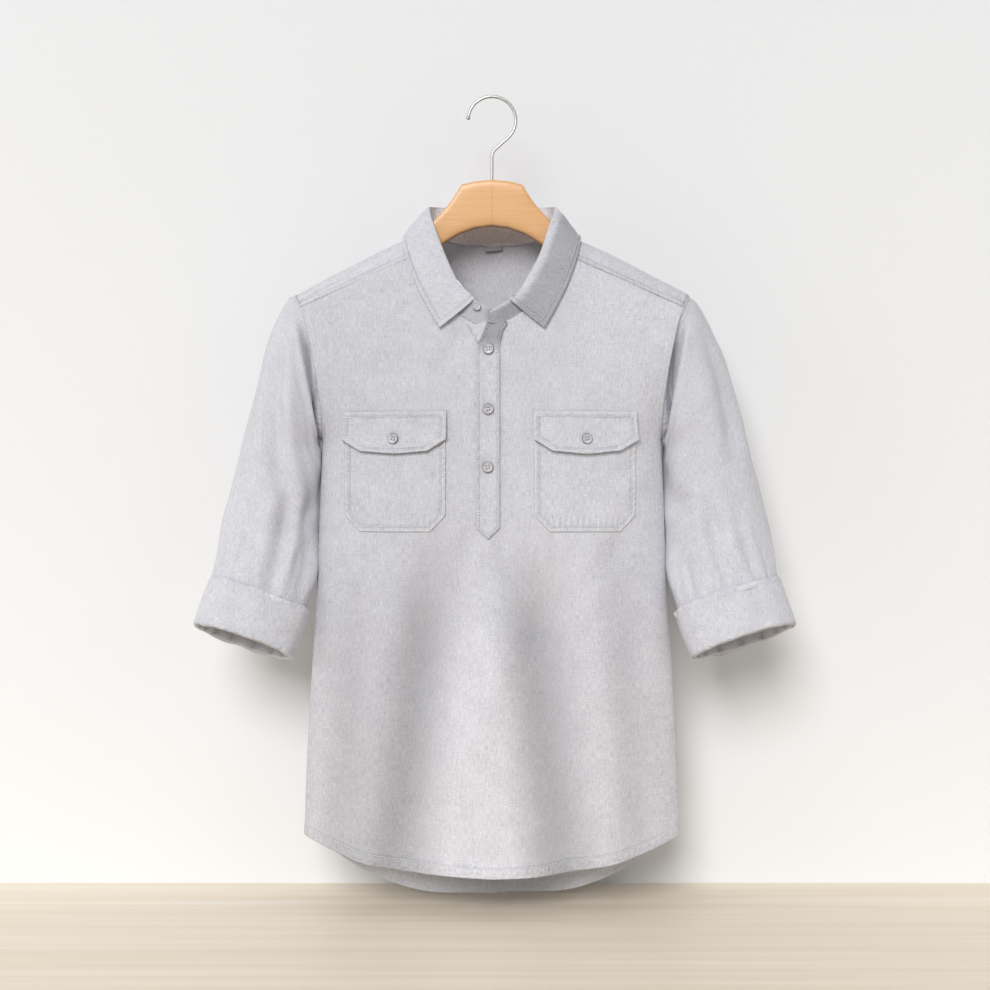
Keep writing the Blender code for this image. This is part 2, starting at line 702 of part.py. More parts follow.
def make_sleeve(name, side, collection):
    """The sleeve from the armhole to where it passes into the turned-up cuff."""
    start, turns = armhole_points()
    start = start + np.array([SEAM_GAP, 0, 0])
    end = ring_points(between(CUFF_TOP, CUFF_BOTTOM, CUFF_INNER_TOP - SEAM_GAP / CUFF_LENGTH), turns, side)
    middle = [ring_points(row, turns, side) for row in SLEEVE_RINGS]
    outer = [start, *middle, inset(end, CUFF_LAYER)]
    inner = [inset(ring, CLOTH) for ring in outer]
    outer = [mirrored(ring, side) for ring in outer]
    inner = [mirrored(ring, side) for ring in inner]
    cloth_wall(name, outer, inner, collection, wrap=True)


def make_cuff(name, side, collection):
    """The cuff turned up outside the sleeve, folded at the bottom, with a groove between its layers."""
    turns = armhole_points()[1]
    rings = []
    for turn in CUFF_SECTION:
        ring = ring_points(between(CUFF_TOP, CUFF_BOTTOM, turn.down), turns, side)
        rings.append(mirrored(inset(ring, turn.inward), side))
    closed_loft(name, rings, "cloth", collection, capped=False)


def neck_points(place):
    """The neck seam, the collar's fold and the leaf's edge, at places between the rows of NECK."""
    x, along = by_row(NECK, "x", place), by_row(NECK, "along", place)
    fold = np.stack([by_row(NECK, name, place) for name in ("fold_x", "fold_y", "fold_z")], axis=-1)
    leaf_x, leaf_along = by_row(NECK, "leaf_x", place), by_row(NECK, "leaf_along", place)
    across = over_shoulder(leaf_x + SLOPE_STEP, leaf_along) - over_shoulder(leaf_x - SLOPE_STEP, leaf_along)
    down = over_shoulder(leaf_x, leaf_along + SLOPE_STEP) - over_shoulder(leaf_x, leaf_along - SLOPE_STEP)
    lift = by_row(NECK, "lift", place)[..., None] * unit(np.cross(across, down))
    return over_shoulder(x, along), fold, over_shoulder(leaf_x, leaf_along) + lift


def whole_neck(half):
    """A half of the neck's points, from centre back to front, made whole from right to left."""
    return np.concatenate([mirrored(half[::-1], -1), half[1:]])


def make_collar_stand(collection):
    """The stand round the neck, its right end behind its left at the centre front."""
    seam, fold, _ = neck_points(np.linspace(0, len(NECK) - 1, COLLAR_COLUMNS))
    seam, fold = whole_neck(seam), whole_neck(fold)
    run = unit(np.gradient(seam, axis=0))
    up = fold - seam
    seam = seam + unit(up - (up * run).sum(axis=-1, keepdims=True) * run) * STAND_GAP
    ends = (STAND_UNDER_END, STAND_TOP_END)
    low = [np.array([[end.x, end.y, end.bottom_z]]) for end in ends]
    high = [np.array([[end.x, end.y, end.top_z]]) for end in ends]
    seam = np.concatenate([low[0], seam, low[1]])
    fold = np.concatenate([high[0], fold, high[1]])
    rows = [fold, (fold + seam) / 2, seam]
    thick_sheet("collar_stand", rows, COLLAR_CLOTH, IN_NECK, collection)


def make_collar_leaf(collection):
    """The leaf, from the fold above the stand out over the yoke and the front."""
    _, fold, edge = neck_points(np.linspace(0, len(NECK) - 1, COLLAR_COLUMNS))
    fold, edge = whole_neck(fold), whole_neck(edge)
    fall = unit(edge - fold)
    out = fold - np.array(COLLAR_CENTRE)
    out = unit(out - (out * fall).sum(axis=-1, keepdims=True) * fall)
    rise = np.array([0, 0, COLLAR_RISE])
    rows = []
    for share, bulge in COLLAR_BULGE:
        rows.append(fold + rise * (1 - share) + (edge - fold) * share + out * bulge)
    thick_sheet("collar_leaf", rows, COLLAR_CLOTH, ABOVE, collection)


def level(table, name, z):
    """One column of a table of falling heights, in straight lines between its rows."""
    return float(np.interp(-z, -column(table, "z"), column(table, name)))


def strip_points(table, columns, lift, tip_z=None):
    """A placket's rows on the front, its last one brought to a point where a tip is given."""
    heights = [row.z for row in table]
    steps = [np.linspace(a, b, 2 + int((a - b) / STRIP_STEP))[1:] for a, b in zip(heights, heights[1:])]
    rows = []
    for z in np.concatenate([heights[:1], *steps]):
        row = Strip(z, level(table, "left", z), level(table, "right", z))
        x = np.linspace(row.left, row.right, columns)
        z = np.full(columns, row.z)
        if tip_z is not None and row.z == table[-1].z:
            middle = 1 - np.abs(np.linspace(-1, 1, columns))
            rows.append(on_front(x, z + POINT_START, np.full(columns, lift)))
            z = row.z + (tip_z - row.z) * middle
        rows.append(on_front(x, z, np.full(columns, lift)))
    return rows


def make_plackets(collection):
    under = strip_points(UNDER_PLACKET, UNDER_PLACKET_COLUMNS, SEAM_GAP)
    thick_sheet("placket_under", under, PATCH_CLOTH, IN_FRONT, collection)
    on_under = 2 * SEAM_GAP + PATCH_CLOTH
    top = strip_points(TOP_PLACKET, TOP_PLACKET_COLUMNS, on_under, tip_z=PLACKET_TIP_Z)
    thick_sheet("placket_top", top, PATCH_CLOTH, IN_FRONT, collection)


def patch_rows(centre, half, top, bottom, cut, point, shares, lifts):
    """A patch on the front whose lower corners are cut off and whose foot may come to a low point."""
    cut_width, cut_height = cut
    inner = 1 - cut_width / half
    middle = np.linspace(0, inner, PATCH_MIDDLE_COLUMNS + 1)[1:]
    half_across = np.concatenate([middle, np.linspace(inner, 1, PATCH_CORNER_COLUMNS + 1)[1:]])
    across = np.concatenate([-half_across[::-1], [0.0], half_across])
    corner = np.clip((np.abs(across) - inner) / (1 - inner), 0, 1) * cut_height
    foot = bottom + corner - point * np.clip(1 - np.abs(across) / inner, 0, 1)
    rows = []
    for share, lift in zip(shares, lifts):
        z = top + (foot - top) * share
        rows.append(on_front(centre + half * across, z, np.full(across.shape, lift)))
    return rows


def make_pocket(name, side, collection):
    centre = FRONT_CENTRE + side * POCKET_CENTRE
    shares = np.linspace(0, 1, POCKET_ROWS)
    cut = (POCKET_CUT_WIDTH, POCKET_CUT_HEIGHT)
    lifts = [POCKET_LIFT] * POCKET_ROWS
    rows = patch_rows(centre, POCKET_HALF, POCKET_TOP_Z, POCKET_BOTTOM_Z, cut, 0, shares, lifts)
    thick_sheet(name, rows, PATCH_CLOTH, IN_FRONT, collection)


def make_flap(name, side, collection):
    """The flap, stitched along its top and standing a little off the pocket at its foot."""
    centre = FRONT_CENTRE + side * POCKET_CENTRE
    on_pocket = POCKET_LIFT + PATCH_CLOTH + SEAM_GAP
    lifts = (POCKET_LIFT, *(on_pocket + FLAP_LIFT * share for share in FLAP_ROWS[1:]))
    cut = (FLAP_CUT_WIDTH, FLAP_CUT_HEIGHT)
    rows = patch_rows(centre, FLAP_HALF, FLAP_TOP_Z, FLAP_BOTTOM_Z, cut, FLAP_POINT, FLAP_ROWS, lifts)
    thick_sheet(name, rows, PATCH_CLOTH, IN_FRONT, collection)


def make_button(name, point, facing, radius, collection):
    """A turned button with a raised rim, its back at the point and its face along facing."""
    thick = BUTTON_THICK * radius / BUTTON_RADIUS
    profile = (
        (0.0, 0.62 * thick),
        (0.58 * radius, 0.62 * thick),
        (0.72 * radius, thick),
        (0.90 * radius, thick),
        (radius, 0.60 * thick),
        (0.86 * radius, 0.0),
        (0.0, 0.0),
    )
    bm = bmesh.new()
    verts = [bm.verts.new((r, 0, h)) for r, h in profile]
    edges = [bm.edges.new(pair) for pair in zip(verts, verts[1:])]
    bmesh.ops.spin(
        bm,
        geom=verts + edges,
        cent=(0, 0, 0),
        axis=(0, 0, 1),
        angle=2 * pi,
        steps=BUTTON_SIDES,
        use_merge=True,
    )
    bmesh.ops.remove_doubles(bm, verts=bm.verts, dist=1e-6)
    made = add_object(name, mesh_of(bm, name), "button", collection)
    made.location = Vector(point)
    made.rotation_mode = "QUATERNION"
    made.rotation_quaternion = Vector(facing).to_track_quat("Z", "Y")


def facing_of(x, z):
    here = on_front(np.array(x), np.array(z), 0.0)
    return on_front(np.array(x), np.array(z), 1.0) - here


def make_buttons(collection):
    on_placket = 3 * SEAM_GAP + 2 * PATCH_CLOTH
    for number, z in enumerate(PLACKET_BUTTON_HEIGHTS, start=1):
        point = on_front(np.array(PLACKET_CENTRE), np.array(z), on_placket)
        make_button(f"button_{number}", point, facing_of(PLACKET_CENTRE, z), BUTTON_RADIUS, collection)
    on_flap = POCKET_LIFT + 2 * PATCH_CLOTH + 2 * SEAM_GAP + FLAP_LIFT
    for name, side in (("flap_button_right", -1), ("flap_button_left", 1)):
        x = FRONT_CENTRE + side * POCKET_CENTRE
        point = on_front(np.array(x), np.array(FLAP_BUTTON_Z), on_flap)
        make_button(name, point, facing_of(x, FLAP_BUTTON_Z), BUTTON_RADIUS, collection)
    make_button("button_stand", STAND_BUTTON, (0, -1, 0), STAND_BUTTON_RADIUS, collection)


def make_neck_tab(collection):
    """A plain folded tab that lies against the inside of the back neck."""
    x, z = TAB_CENTRE
    y = body(np.array(x), np.array(z), BACK)[1] - TAB_BEHIND
    bm = bmesh.new()
    bmesh.ops.create_cube(bm, size=1)
    bmesh.ops.scale(bm, vec=TAB_SIZE, verts=bm.verts)
    made = add_object("neck_tab", mesh_of(bm, "neck_tab"), "cloth", collection)
    made.location = (x, y, z)
    made.rotation_euler = (0, radians(-TAB_TILT), 0)
    rounding = made.modifiers.new("Rounding", "BEVEL")
    rounding.width = TAB_ROUNDING
    rounding.segments = 1


def arm_section(x, top, bottom, half_thick, squareness):
    """An upright rounded section of the hanger."""
    angle = np.arange(ARM_SECTION_POINTS) * 2 * pi / ARM_SECTION_POINTS
    power = 2 / squareness
    y = half_thick * np.sign(np.cos(angle)) * np.abs(np.cos(angle)) ** power
    z = (top + bottom) / 2 + (top - bottom) / 2 * np.sign(np.sin(angle)) * np.abs(np.sin(angle)) ** power
    return np.stack([np.full(len(angle), x), y, z], axis=1)


def make_hanger(collection):
    """The shaped wooden hanger, its arms just under the yoke."""
    half = [arm_section(*row, HEAD_SECTION_POWER) for row in HANGER_HEAD]
    for row in HANGER_ARM:
        top = float(shoulder_line(row.x)) - CLOTH * np.hypot(1, SHOULDER_SLOPE) - SEAT_GAP
        half.append(arm_section(row.x, top, top - row.height, row.half_thick, ARM_SECTION_POWER))
    half.append(arm_section(*HANGER_END, ARM_SECTION_POWER))
    rings = [mirrored(ring, -1) for ring in half[::-1]] + half[1:]
    closed_loft("hanger_wood", rings, "wood", collection, capped=True)


def hook_route():
    """The wire from the wood up its stem, round the bend and over the hook to its tip."""
    centre_z = WIRE_RADIUS - HOOK_RADIUS
    wood_top = HANGER_HEAD[0].top + SEAM_GAP
    route = [(0.0, wood_top), (0.0, (wood_top + STEM_TOP_Z) / 2)]
    bend_end, bend_start = np.array(STEM_BEND_TOP), np.array([0.0, STEM_TOP_Z])
    corner = np.array([0.0, STEM_BEND_Z])
    for share in np.linspace(0, 1, BEND_POINTS):
        spot = (1 - share) ** 2 * bend_start + 2 * share * (1 - share) * corner + share**2 * bend_end
        route.append(tuple(spot))
    for angle in np.radians(np.linspace(HOOK_LEAVES_AT, HOOK_TIP_AT, HOOK_POINTS)):
        route.append((HOOK_RADIUS * cos(angle), centre_z + HOOK_RADIUS * sin(angle)))
    return route


def make_hook(collection):
    curve = bpy.data.curves.new("hanger_hook", "CURVE")
    curve.dimensions = "3D"
    curve.bevel_depth = WIRE_RADIUS
    curve.bevel_resolution = 2
    curve.use_fill_caps = True
    route = hook_route()
    spline = curve.splines.new("POLY")
    spline.points.add(len(route) - 1)
    for point, (x, z) in zip(spline.points, route):
        point.co = (x, 0.0, z, 1.0)
    curve.materials.append(material("steel"))
    collection.objects.link(bpy.data.objects.new("hanger_hook", curve))


def clear_scene():
    for held in list(bpy.data.objects):
        bpy.data.objects.remove(held, do_unlink=True)


def new_collection(name):
    made = bpy.data.collections.new(name)
    bpy.context.scene.collection.children.link(made)
    return made


def main():
    clear_scene()
    garment = new_collection("short_kurta")
    cutters = new_collection("cutters")
    make_front(garment, cutters)
    make_back(garment)
    make_yoke(garment)
    for name, side in (("right", -1), ("left", 1)):
        make_sleeve(f"sleeve_{name}", side, garment)
        make_cuff(f"cuff_{name}", side, garment)
        make_pocket(f"pocket_{name}", side, garment)
        make_flap(f"flap_{name}", side, garment)
    make_collar_stand(garment)
    make_collar_leaf(garment)
    make_plackets(garment)
    make_buttons(garment)
    make_neck_tab(garment)
    make_hanger(garment)
    make_hook(garment)


main()
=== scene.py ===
"""Looks of the short kurta: its cloth, stitching, buttons and hanger, on a plain pale stage.

The shapes come from the same tables as the solids, at a finer step and with the cloth's creases added.
"""

from collections import namedtuple
from math import cos, pi, radians, sin

import bpy
import numpy as np
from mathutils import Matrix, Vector

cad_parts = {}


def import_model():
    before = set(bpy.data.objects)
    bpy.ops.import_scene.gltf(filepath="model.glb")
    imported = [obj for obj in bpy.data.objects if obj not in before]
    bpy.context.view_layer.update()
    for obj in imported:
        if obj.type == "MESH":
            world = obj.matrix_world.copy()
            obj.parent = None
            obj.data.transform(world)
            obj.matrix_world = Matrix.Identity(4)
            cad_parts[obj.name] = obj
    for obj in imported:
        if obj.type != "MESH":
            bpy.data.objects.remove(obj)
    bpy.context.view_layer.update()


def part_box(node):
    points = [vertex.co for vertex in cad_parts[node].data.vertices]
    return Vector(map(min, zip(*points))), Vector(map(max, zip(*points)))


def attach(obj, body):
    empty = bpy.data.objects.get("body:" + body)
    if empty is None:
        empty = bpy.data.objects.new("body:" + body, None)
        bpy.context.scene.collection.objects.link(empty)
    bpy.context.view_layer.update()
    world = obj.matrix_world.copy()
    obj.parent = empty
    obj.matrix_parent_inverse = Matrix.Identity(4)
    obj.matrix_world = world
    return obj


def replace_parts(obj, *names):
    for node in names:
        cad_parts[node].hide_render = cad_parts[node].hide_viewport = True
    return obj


FRONT, BACK = -1, 1

# Cloth
CLOTH = 0.0014
SEAM_GAP = 0.0003

# Shoulder line, the crest that the yoke runs over
SHOULDER_X = 0.1003
SHOULDER_Z = -0.1637
SHOULDER_SLOPE = 0.4985
TIP_X = 0.2022
TIP_SLOPE = 0.55
NECK_ROUNDING = 0.020
NECK_DIP = 0.0004
ARCH_RADIUS = 0.012
SPREAD_AT_NECK = 0.030
SPREAD_AT_SHOULDER = 0.050

# Yoke seams
YOKE_FRONT_X = 0.0958
YOKE_FRONT_Z = -0.1903
YOKE_FRONT_SLOPE = 0.436
YOKE_BACK_Z = -0.2700
YOKE_NECK_X = 0.0860
FRONT_TOP_X = 0.2190
FRONT_TOP_Z = -0.2432

# Body
HEM_CORNER_Z = -0.8476
FRONT_HEM_Z = -0.8884
BACK_HEM_Z = -0.9280
UNDERARM_Z = -0.3945
ARMHOLE_OPENING = 0.50
ARMHOLE_START = 0.012
ARMHOLE_OPENING_MOST = 0.050
SECTION_POWER = 2.4
FOLD_EDGE_POWER = 6

# Front details, whose own centre line lies a little to the wearer's right
FRONT_CENTRE = -0.0020
PLACKET_CENTRE = -0.0041
PLACKET_TIP_Z = -0.5078
POCKET_CENTRE = 0.1070
Patch = namedtuple("Patch", "half top bottom cut_width cut_height point")
POCKET = Patch(0.0575, -0.3712, -0.4994, 0.0175, 0.0185, 0.0)
FLAP = Patch(0.0585, -0.3641, -0.4085, 0.0205, 0.0130, 0.0035)
GATHER_PITCH = 0.0066

# Neck tab, folded flat against the inside of the back neck
TAB_CENTRE = (0.0018, -0.1683)
TAB_SIZE = (0.0205, 0.0012, 0.0052)
TAB_TILT = 5.0

# Buttons
BUTTON_RADIUS = 0.0062
STAND_BUTTON_RADIUS = 0.0044
BUTTON_THICK = 0.0024
PLACKET_BUTTON_HEIGHTS = (-0.2953, -0.3620, -0.4267)
FLAP_BUTTON_Z = -0.3948
STAND_BUTTON = (-0.0168, -0.0690, -0.2482)

# Turned-up cuffs
CUFF_WALL = 0.0022
CUFF_GROOVE = 0.0024

# Hanger
HOOK_RADIUS = 0.0275
WIRE_RADIUS = 0.0019
HOOK_TIP_AT = 172.0
HOOK_LEAVES_AT = -48.0
STEM_BEND_TOP = (0.0040, -0.0588)
STEM_BEND_Z = -0.0625
STEM_TOP_Z = -0.0690
SEAT_GAP = 0.0004
ARM_SECTION_POWER = 2.4

Edge = namedtuple("Edge", "z half_width")
BODY_EDGE = (
    Edge(-0.8476, 0.2165),
    Edge(-0.7640, 0.2135),
    Edge(-0.6950, 0.2100),
    Edge(-0.5790, 0.2030),
    Edge(-0.5100, 0.2000),
    Edge(-0.4410, 0.1975),
    Edge(-0.3945, 0.1955),
    Edge(-0.3540, 0.1960),
    Edge(-0.3115, 0.2015),
    Edge(-0.2790, 0.2080),
    Edge(-0.2432, 0.2190),
    Edge(-0.2290, 0.2262),
)

Depth = namedtuple("Depth", "z front back")
BODY_DEPTH = (
    Depth(-0.93, 0.055, 0.042),
    Depth(-0.75, 0.058, 0.046),
    Depth(-0.60, 0.062, 0.050),
    Depth(-0.45, 0.067, 0.054),
    Depth(-0.33, 0.070, 0.057),
    Depth(-0.25, 0.068, 0.055),
    Depth(-0.15, 0.062, 0.052),
)

Hem = namedtuple("Hem", "across rise")
HEM_CURVE = (
    Hem(0.00, 0.000),
    Hem(0.40, 0.095),
    Hem(0.70, 0.400),
    Hem(0.81, 0.605),
    Hem(0.93, 0.865),
    Hem(1.00, 1.000),
)

Fold = namedtuple("Fold", "side x_start x_hem z_start z_full width depth")
FOLDS = (
    Fold(FRONT, -0.058, -0.108, -0.470, -0.640, 0.030, 0.0070),
    Fold(FRONT, 0.028, 0.078, -0.480, -0.640, 0.030, 0.0075),
    Fold(FRONT, -0.012, -0.014, -0.500, -0.700, 0.034, -0.0045),
    Fold(FRONT, -0.150, -0.172, -0.470, -0.700, 0.020, 0.0035),
    Fold(FRONT, 0.140, 0.166, -0.440, -0.660, 0.024, 0.0045),
    Fold(BACK, -0.062, -0.096, -0.280, -0.480, 0.028, 0.0070),
    Fold(BACK, 0.054, 0.088, -0.280, -0.520, 0.030, 0.0065),
    Fold(BACK, 0.002, 0.010, -0.400, -0.640, 0.034, -0.0045),
    Fold(BACK, -0.146, -0.165, -0.420, -0.660, 0.022, 0.0040),
    Fold(BACK, 0.150, 0.160, -0.460, -0.700, 0.022, 0.0040),
)

# Half of the neck, from the centre back to the front end. Along is the distance from the crest.
Neck = namedtuple("Neck", "x along fold_x fold_y fold_z leaf_x leaf_along lift")
NECK = (
    Neck(0.0000, 0.0501, 0.0000, 0.0500, -0.1210, 0.0000, 0.0621, 0.0030),
    Neck(0.0320, 0.0394, 0.0340, 0.0470, -0.1212, 0.0420, 0.0499, 0.0030),
    Neck(0.0620, 0.0207, 0.0600, 0.0350, -0.1220, 0.0800, 0.0300, 0.0030),
    Neck(0.0770, 0.0115, 0.0690, 0.0240, -0.1232, 0.0945, 0.0190, 0.0030),
    Neck(0.0836, 0.0000, 0.0727, 0.0120, -0.1253, 0.1010, 0.0060, 0.0030),
    Neck(0.0858, -0.0180, 0.0718, -0.0020, -0.1345, 0.1003, -0.0110, 0.0031),
    Neck(0.0860, -0.0364, 0.0684, -0.0160, -0.1457, 0.0962, -0.0331, 0.0033),
    Neck(0.0760, -0.0669, 0.0526, -0.0410, -0.1900, 0.0850, -0.0706, 0.0038),
    Neck(0.0480, -0.1162, 0.0343, -0.0590, -0.2245, 0.0720, -0.1038, 0.0046),
    Neck(0.0180, -0.1477, 0.0196, -0.0690, -0.2405, 0.0580, -0.1352, 0.0055),
)
YOKE_CORNER = 6
YOKE_FEET = (0.0, 0.012, 0.026, 0.042, 0.062, 0.083, 0.100)
COLLAR_BULGE = ((0, 0.0006), (0.12, 0.0018), (0.35, 0.0024), (0.7, 0.0016), (1, 0.0))

StandEnd = namedtuple("StandEnd", "x top_z bottom_z y")
STAND_UNDER_END = StandEnd(0.0010, -0.2512, -0.2662, -0.0672)
STAND_TOP_END = StandEnd(-0.0022, -0.2535, -0.2662, -0.0722)

Strip = namedtuple("Strip", "z left right")
TOP_PLACKET = (
    Strip(-0.2676, -0.0061, 0.0173),
    Strip(-0.2745, -0.0087, 0.0127),
    Strip(-0.2870, -0.0142, 0.0098),
    Strip(-0.2952, -0.0170, 0.0089),
    Strip(-0.3600, -0.0170, 0.0089),
    Strip(-0.4280, -0.0170, 0.0089),
    Strip(-0.4948, -0.0170, 0.0089),
)
UNDER_PLACKET = (
    Strip(-0.2676, -0.0290, -0.0010),
    Strip(-0.2790, -0.0222, 0.0035),
    Strip(-0.2905, -0.0156, 0.0075),
    Strip(-0.3550, -0.0156, 0.0075),
    Strip(-0.4250, -0.0156, 0.0075),
    Strip(-0.4920, -0.0156, 0.0075),
)

# Sway is how much farther out the left sleeve hangs than the right one.
Ring = namedtuple("Ring", "outer_x outer_z inner_x inner_z y depth tilt sway")
SLEEVE_RINGS = (
    Ring(0.2362, -0.2365, 0.1985, -0.4010, 0.001, 0.0370, 0, 0.000),
    Ring(0.2482, -0.2584, 0.1982, -0.4100, 0.004, 0.0420, 1, 0.001),
    Ring(0.2616, -0.2920, 0.1979, -0.4220, 0.007, 0.0450, 3, 0.002),
    Ring(0.2726, -0.3288, 0.1980, -0.4380, 0.010, 0.0460, 5, 0.003),
    Ring(0.2829, -0.3689, 0.1985, -0.4570, 0.011, 0.0450, 7, 0.005),
    Ring(0.2924, -0.4093, 0.1990, -0.4780, 0.009, 0.0430, 9, 0.006),
    Ring(0.3017, -0.4499, 0.2004, -0.5010, 0.004, 0.0410, 11, 0.008),
    Ring(0.3095, -0.4884, 0.2013, -0.5270, -0.004, 0.0380, 14, 0.008),
    Ring(0.3146, -0.5207, 0.2028, -0.5537, -0.013, 0.0350, 16, 0.006),
)
CUFF_TOP = Ring(0.3221, -0.5538, 0.2072, -0.5925, -0.0240, 0.0375, 17, 0.005)
CUFF_BOTTOM = Ring(0.3384, -0.6056, 0.2252, -0.6433, -0.0400, 0.0385, 18, 0.005)

Head = namedtuple("Head", "x top bottom half_thick")
HANGER_HEAD = (
    Head(0.0000, -0.0950, -0.1479, 0.0085),
    Head(0.0190, -0.0965, -0.1502, 0.0085),
    Head(0.0350, -0.1004, -0.1558, 0.0085),
    Head(0.0400, -0.1085, -0.1583, 0.0085),
    Head(0.0480, -0.1210, -0.1629, 0.0085),
    Head(0.0580, -0.1325, -0.1698, 0.0086),
    Head(0.0700, -0.1447, -0.1782, 0.0087),
    Head(0.0790, -0.1585, -0.1850, 0.0088),
)
Arm = namedtuple("Arm", "x height half_thick")
HANGER_ARM = (
    Arm(0.0920, 0.0300, 0.0088),
    Arm(0.1150, 0.0295, 0.0088),
    Arm(0.1550, 0.0275, 0.0088),
    Arm(0.1950, 0.0220, 0.0086),
    Arm(0.2080, 0.0170, 0.0076),
)
HANGER_END = Head(0.2130, -0.2300, -0.2370, 0.0045)


def hermite(t, first, second, first_slope, second_slope):
    """Between two values, with the slopes given at them."""
    start = (2 * t**3 - 3 * t**2 + 1) * first + (t**3 - 2 * t**2 + t) * first_slope
    return start + (3 * t**2 - 2 * t**3) * second + (t**3 - t**2) * second_slope


def curve_through(xs, ys, at):
    """A smooth curve through points, read at one or more places."""
    slopes = np.gradient(ys, xs)
    at = np.clip(at, xs[0], xs[-1])
    cell = np.clip(np.searchsorted(xs, at, side="right") - 1, 0, len(xs) - 2)
    width = xs[cell + 1] - xs[cell]
    t = (at - xs[cell]) / width
    return hermite(t, ys[cell], ys[cell + 1], width * slopes[cell], width * slopes[cell + 1])


def column(table, name):
    return np.array([getattr(row, name) for row in table], dtype=float)


def by_height(table, name, z):
    """One column of a table whose rows are given by height."""
    heights = column(table, "z")
    order = np.argsort(heights)
    return curve_through(heights[order], column(table, name)[order], z)


def by_row(table, name, place):
    """One column of a table, read between its rows."""
    return curve_through(np.arange(len(table), dtype=float), column(table, name), place)


def ease(t):
    t = np.clip(t, 0.0, 1.0)
    return t * t * (3 - 2 * t)


def half_width(z):
    return by_height(BODY_EDGE, "half_width", z)


def shoulder_line(x):
    """Height of the crest that the yoke runs over."""
    rounded = np.sqrt(np.square(x) + NECK_ROUNDING**2)
    start = np.sqrt(SHOULDER_X**2 + NECK_ROUNDING**2)
    past_tip = np.maximum(np.abs(x) - TIP_X, 0.0)
    return SHOULDER_Z - SHOULDER_SLOPE * (rounded - start) - (TIP_SLOPE - SHOULDER_SLOPE) * past_tip


def bell(distance, width):
    return np.exp(-((distance / width) ** 2))


def fold_sum(x, z, table, side):
    """How far the folds of a table take the cloth inwards."""
    total = 0.0
    for fold in (row for row in table if row.side == side):
        down = (fold.z_start - z) / (fold.z_start - HEM_CORNER_Z)
        centre = fold.x_start + (fold.x_hem - fold.x_start) * down
        grown = ease((fold.z_start - z) / (fold.z_start - fold.z_full))
        total = total + fold.depth * grown * bell(x - centre, fold.width)
    return total


def off_seam(x, z):
    """1 over most of the body, falling to 0 at its side seams."""
    return 1 - np.clip(np.abs(x) / half_width(z), 0, 1) ** FOLD_EDGE_POWER


def body_depth(x, z, side):
    """Depth of the hanging body, before the shoulder rounds it off."""
    most = by_height(BODY_DEPTH, "front" if side == FRONT else "back", z)
    above = np.maximum(z - UNDERARM_Z, 0)
    opening = np.minimum(ARMHOLE_OPENING * above**2 / (above + ARMHOLE_START), ARMHOLE_OPENING_MOST)
    share = np.clip(np.abs(x) / (half_width(z) + opening), 0, 1)
    return most * np.sqrt(1 - share**SECTION_POWER)


def body_reach(x, z, side):
    """How far the outer face of the front or the back stands from the plane of the side seams."""
    below = np.maximum(shoulder_line(x) - z, 0.0)
    arch = ARCH_RADIUS * np.sqrt(1 - (1 - np.minimum(below / ARCH_RADIUS, 1)) ** 2)
    full = body_depth(x, z, side)
    spread = SPREAD_AT_NECK + (SPREAD_AT_SHOULDER - SPREAD_AT_NECK) * ease(np.abs(x) / SHOULDER_X)
    gained = np.maximum(full - ARCH_RADIUS, 0) * (1 - np.exp(-below / spread))
    reach = arch * np.minimum(1, full / ARCH_RADIUS) + gained
    return np.maximum(reach - fold_sum(x, z, FOLDS, side) * off_seam(x, z), 0.0)


def over_shoulder(x, along):
    """Outer face at a distance along the cloth from the crest, negative down the front."""
    turn = np.minimum(np.abs(along) / ARCH_RADIUS, pi / 2)
    straight = np.maximum(np.abs(along) - ARCH_RADIUS * pi / 2, 0)
    z = shoulder_line(x) - ARCH_RADIUS * (1 - np.cos(turn)) - straight
    y = np.where(along < 0, -body_reach(x, z, FRONT), body_reach(x, z, BACK))
    return np.stack(np.broadcast_arrays(x, y, z), axis=-1)


def along_for(x, z):
    """Distance along the cloth from the crest to a height below it."""
    below = np.maximum(shoulder_line(x) - z, 0.0)
    turn = np.arccos(np.clip(1 - below / ARCH_RADIUS, 0, 1))
    return ARCH_RADIUS * turn + np.maximum(below - ARCH_RADIUS, 0)


def yoke_seam(x):
    return YOKE_FRONT_Z - YOKE_FRONT_SLOPE * (np.abs(x) - YOKE_FRONT_X)


def unit(vectors):
    return vectors / np.linalg.norm(vectors, axis=-1, keepdims=True)


def neckline(x):
    """Height of the front neckline, from the yoke's corner to the centre front."""
    places = np.arange(len(NECK) - 1, YOKE_CORNER - 0.5, -0.5)
    ends = over_shoulder(by_row(NECK, "x", places), by_row(NECK, "along", places))
    xs = np.concatenate([[0.0], ends[:, 0]])
    zs = np.concatenate([ends[:1, 2] - NECK_DIP, ends[:, 2]])
    return curve_through(xs, zs, x)


def front_top(s):
    """Top edge of the front: the yoke seam, then the neckline."""
    x = np.abs(s) * FRONT_TOP_X
    edge = np.where(x >= YOKE_NECK_X - 1e-9, yoke_seam(x), neckline(x))
    return edge - SEAM_GAP / 2


def back_top(s):
    return YOKE_BACK_Z - SEAM_GAP / 2 + 0 * s


def armhole_edge(along):
    """X of the armhole's edge, on the yoke, at a distance from the crest."""
    x = np.full(np.shape(along), FRONT_TOP_X)
    for _ in range(EDGE_ROUNDS):
        x = half_width(over_shoulder(x, along)[..., 2])
    return x


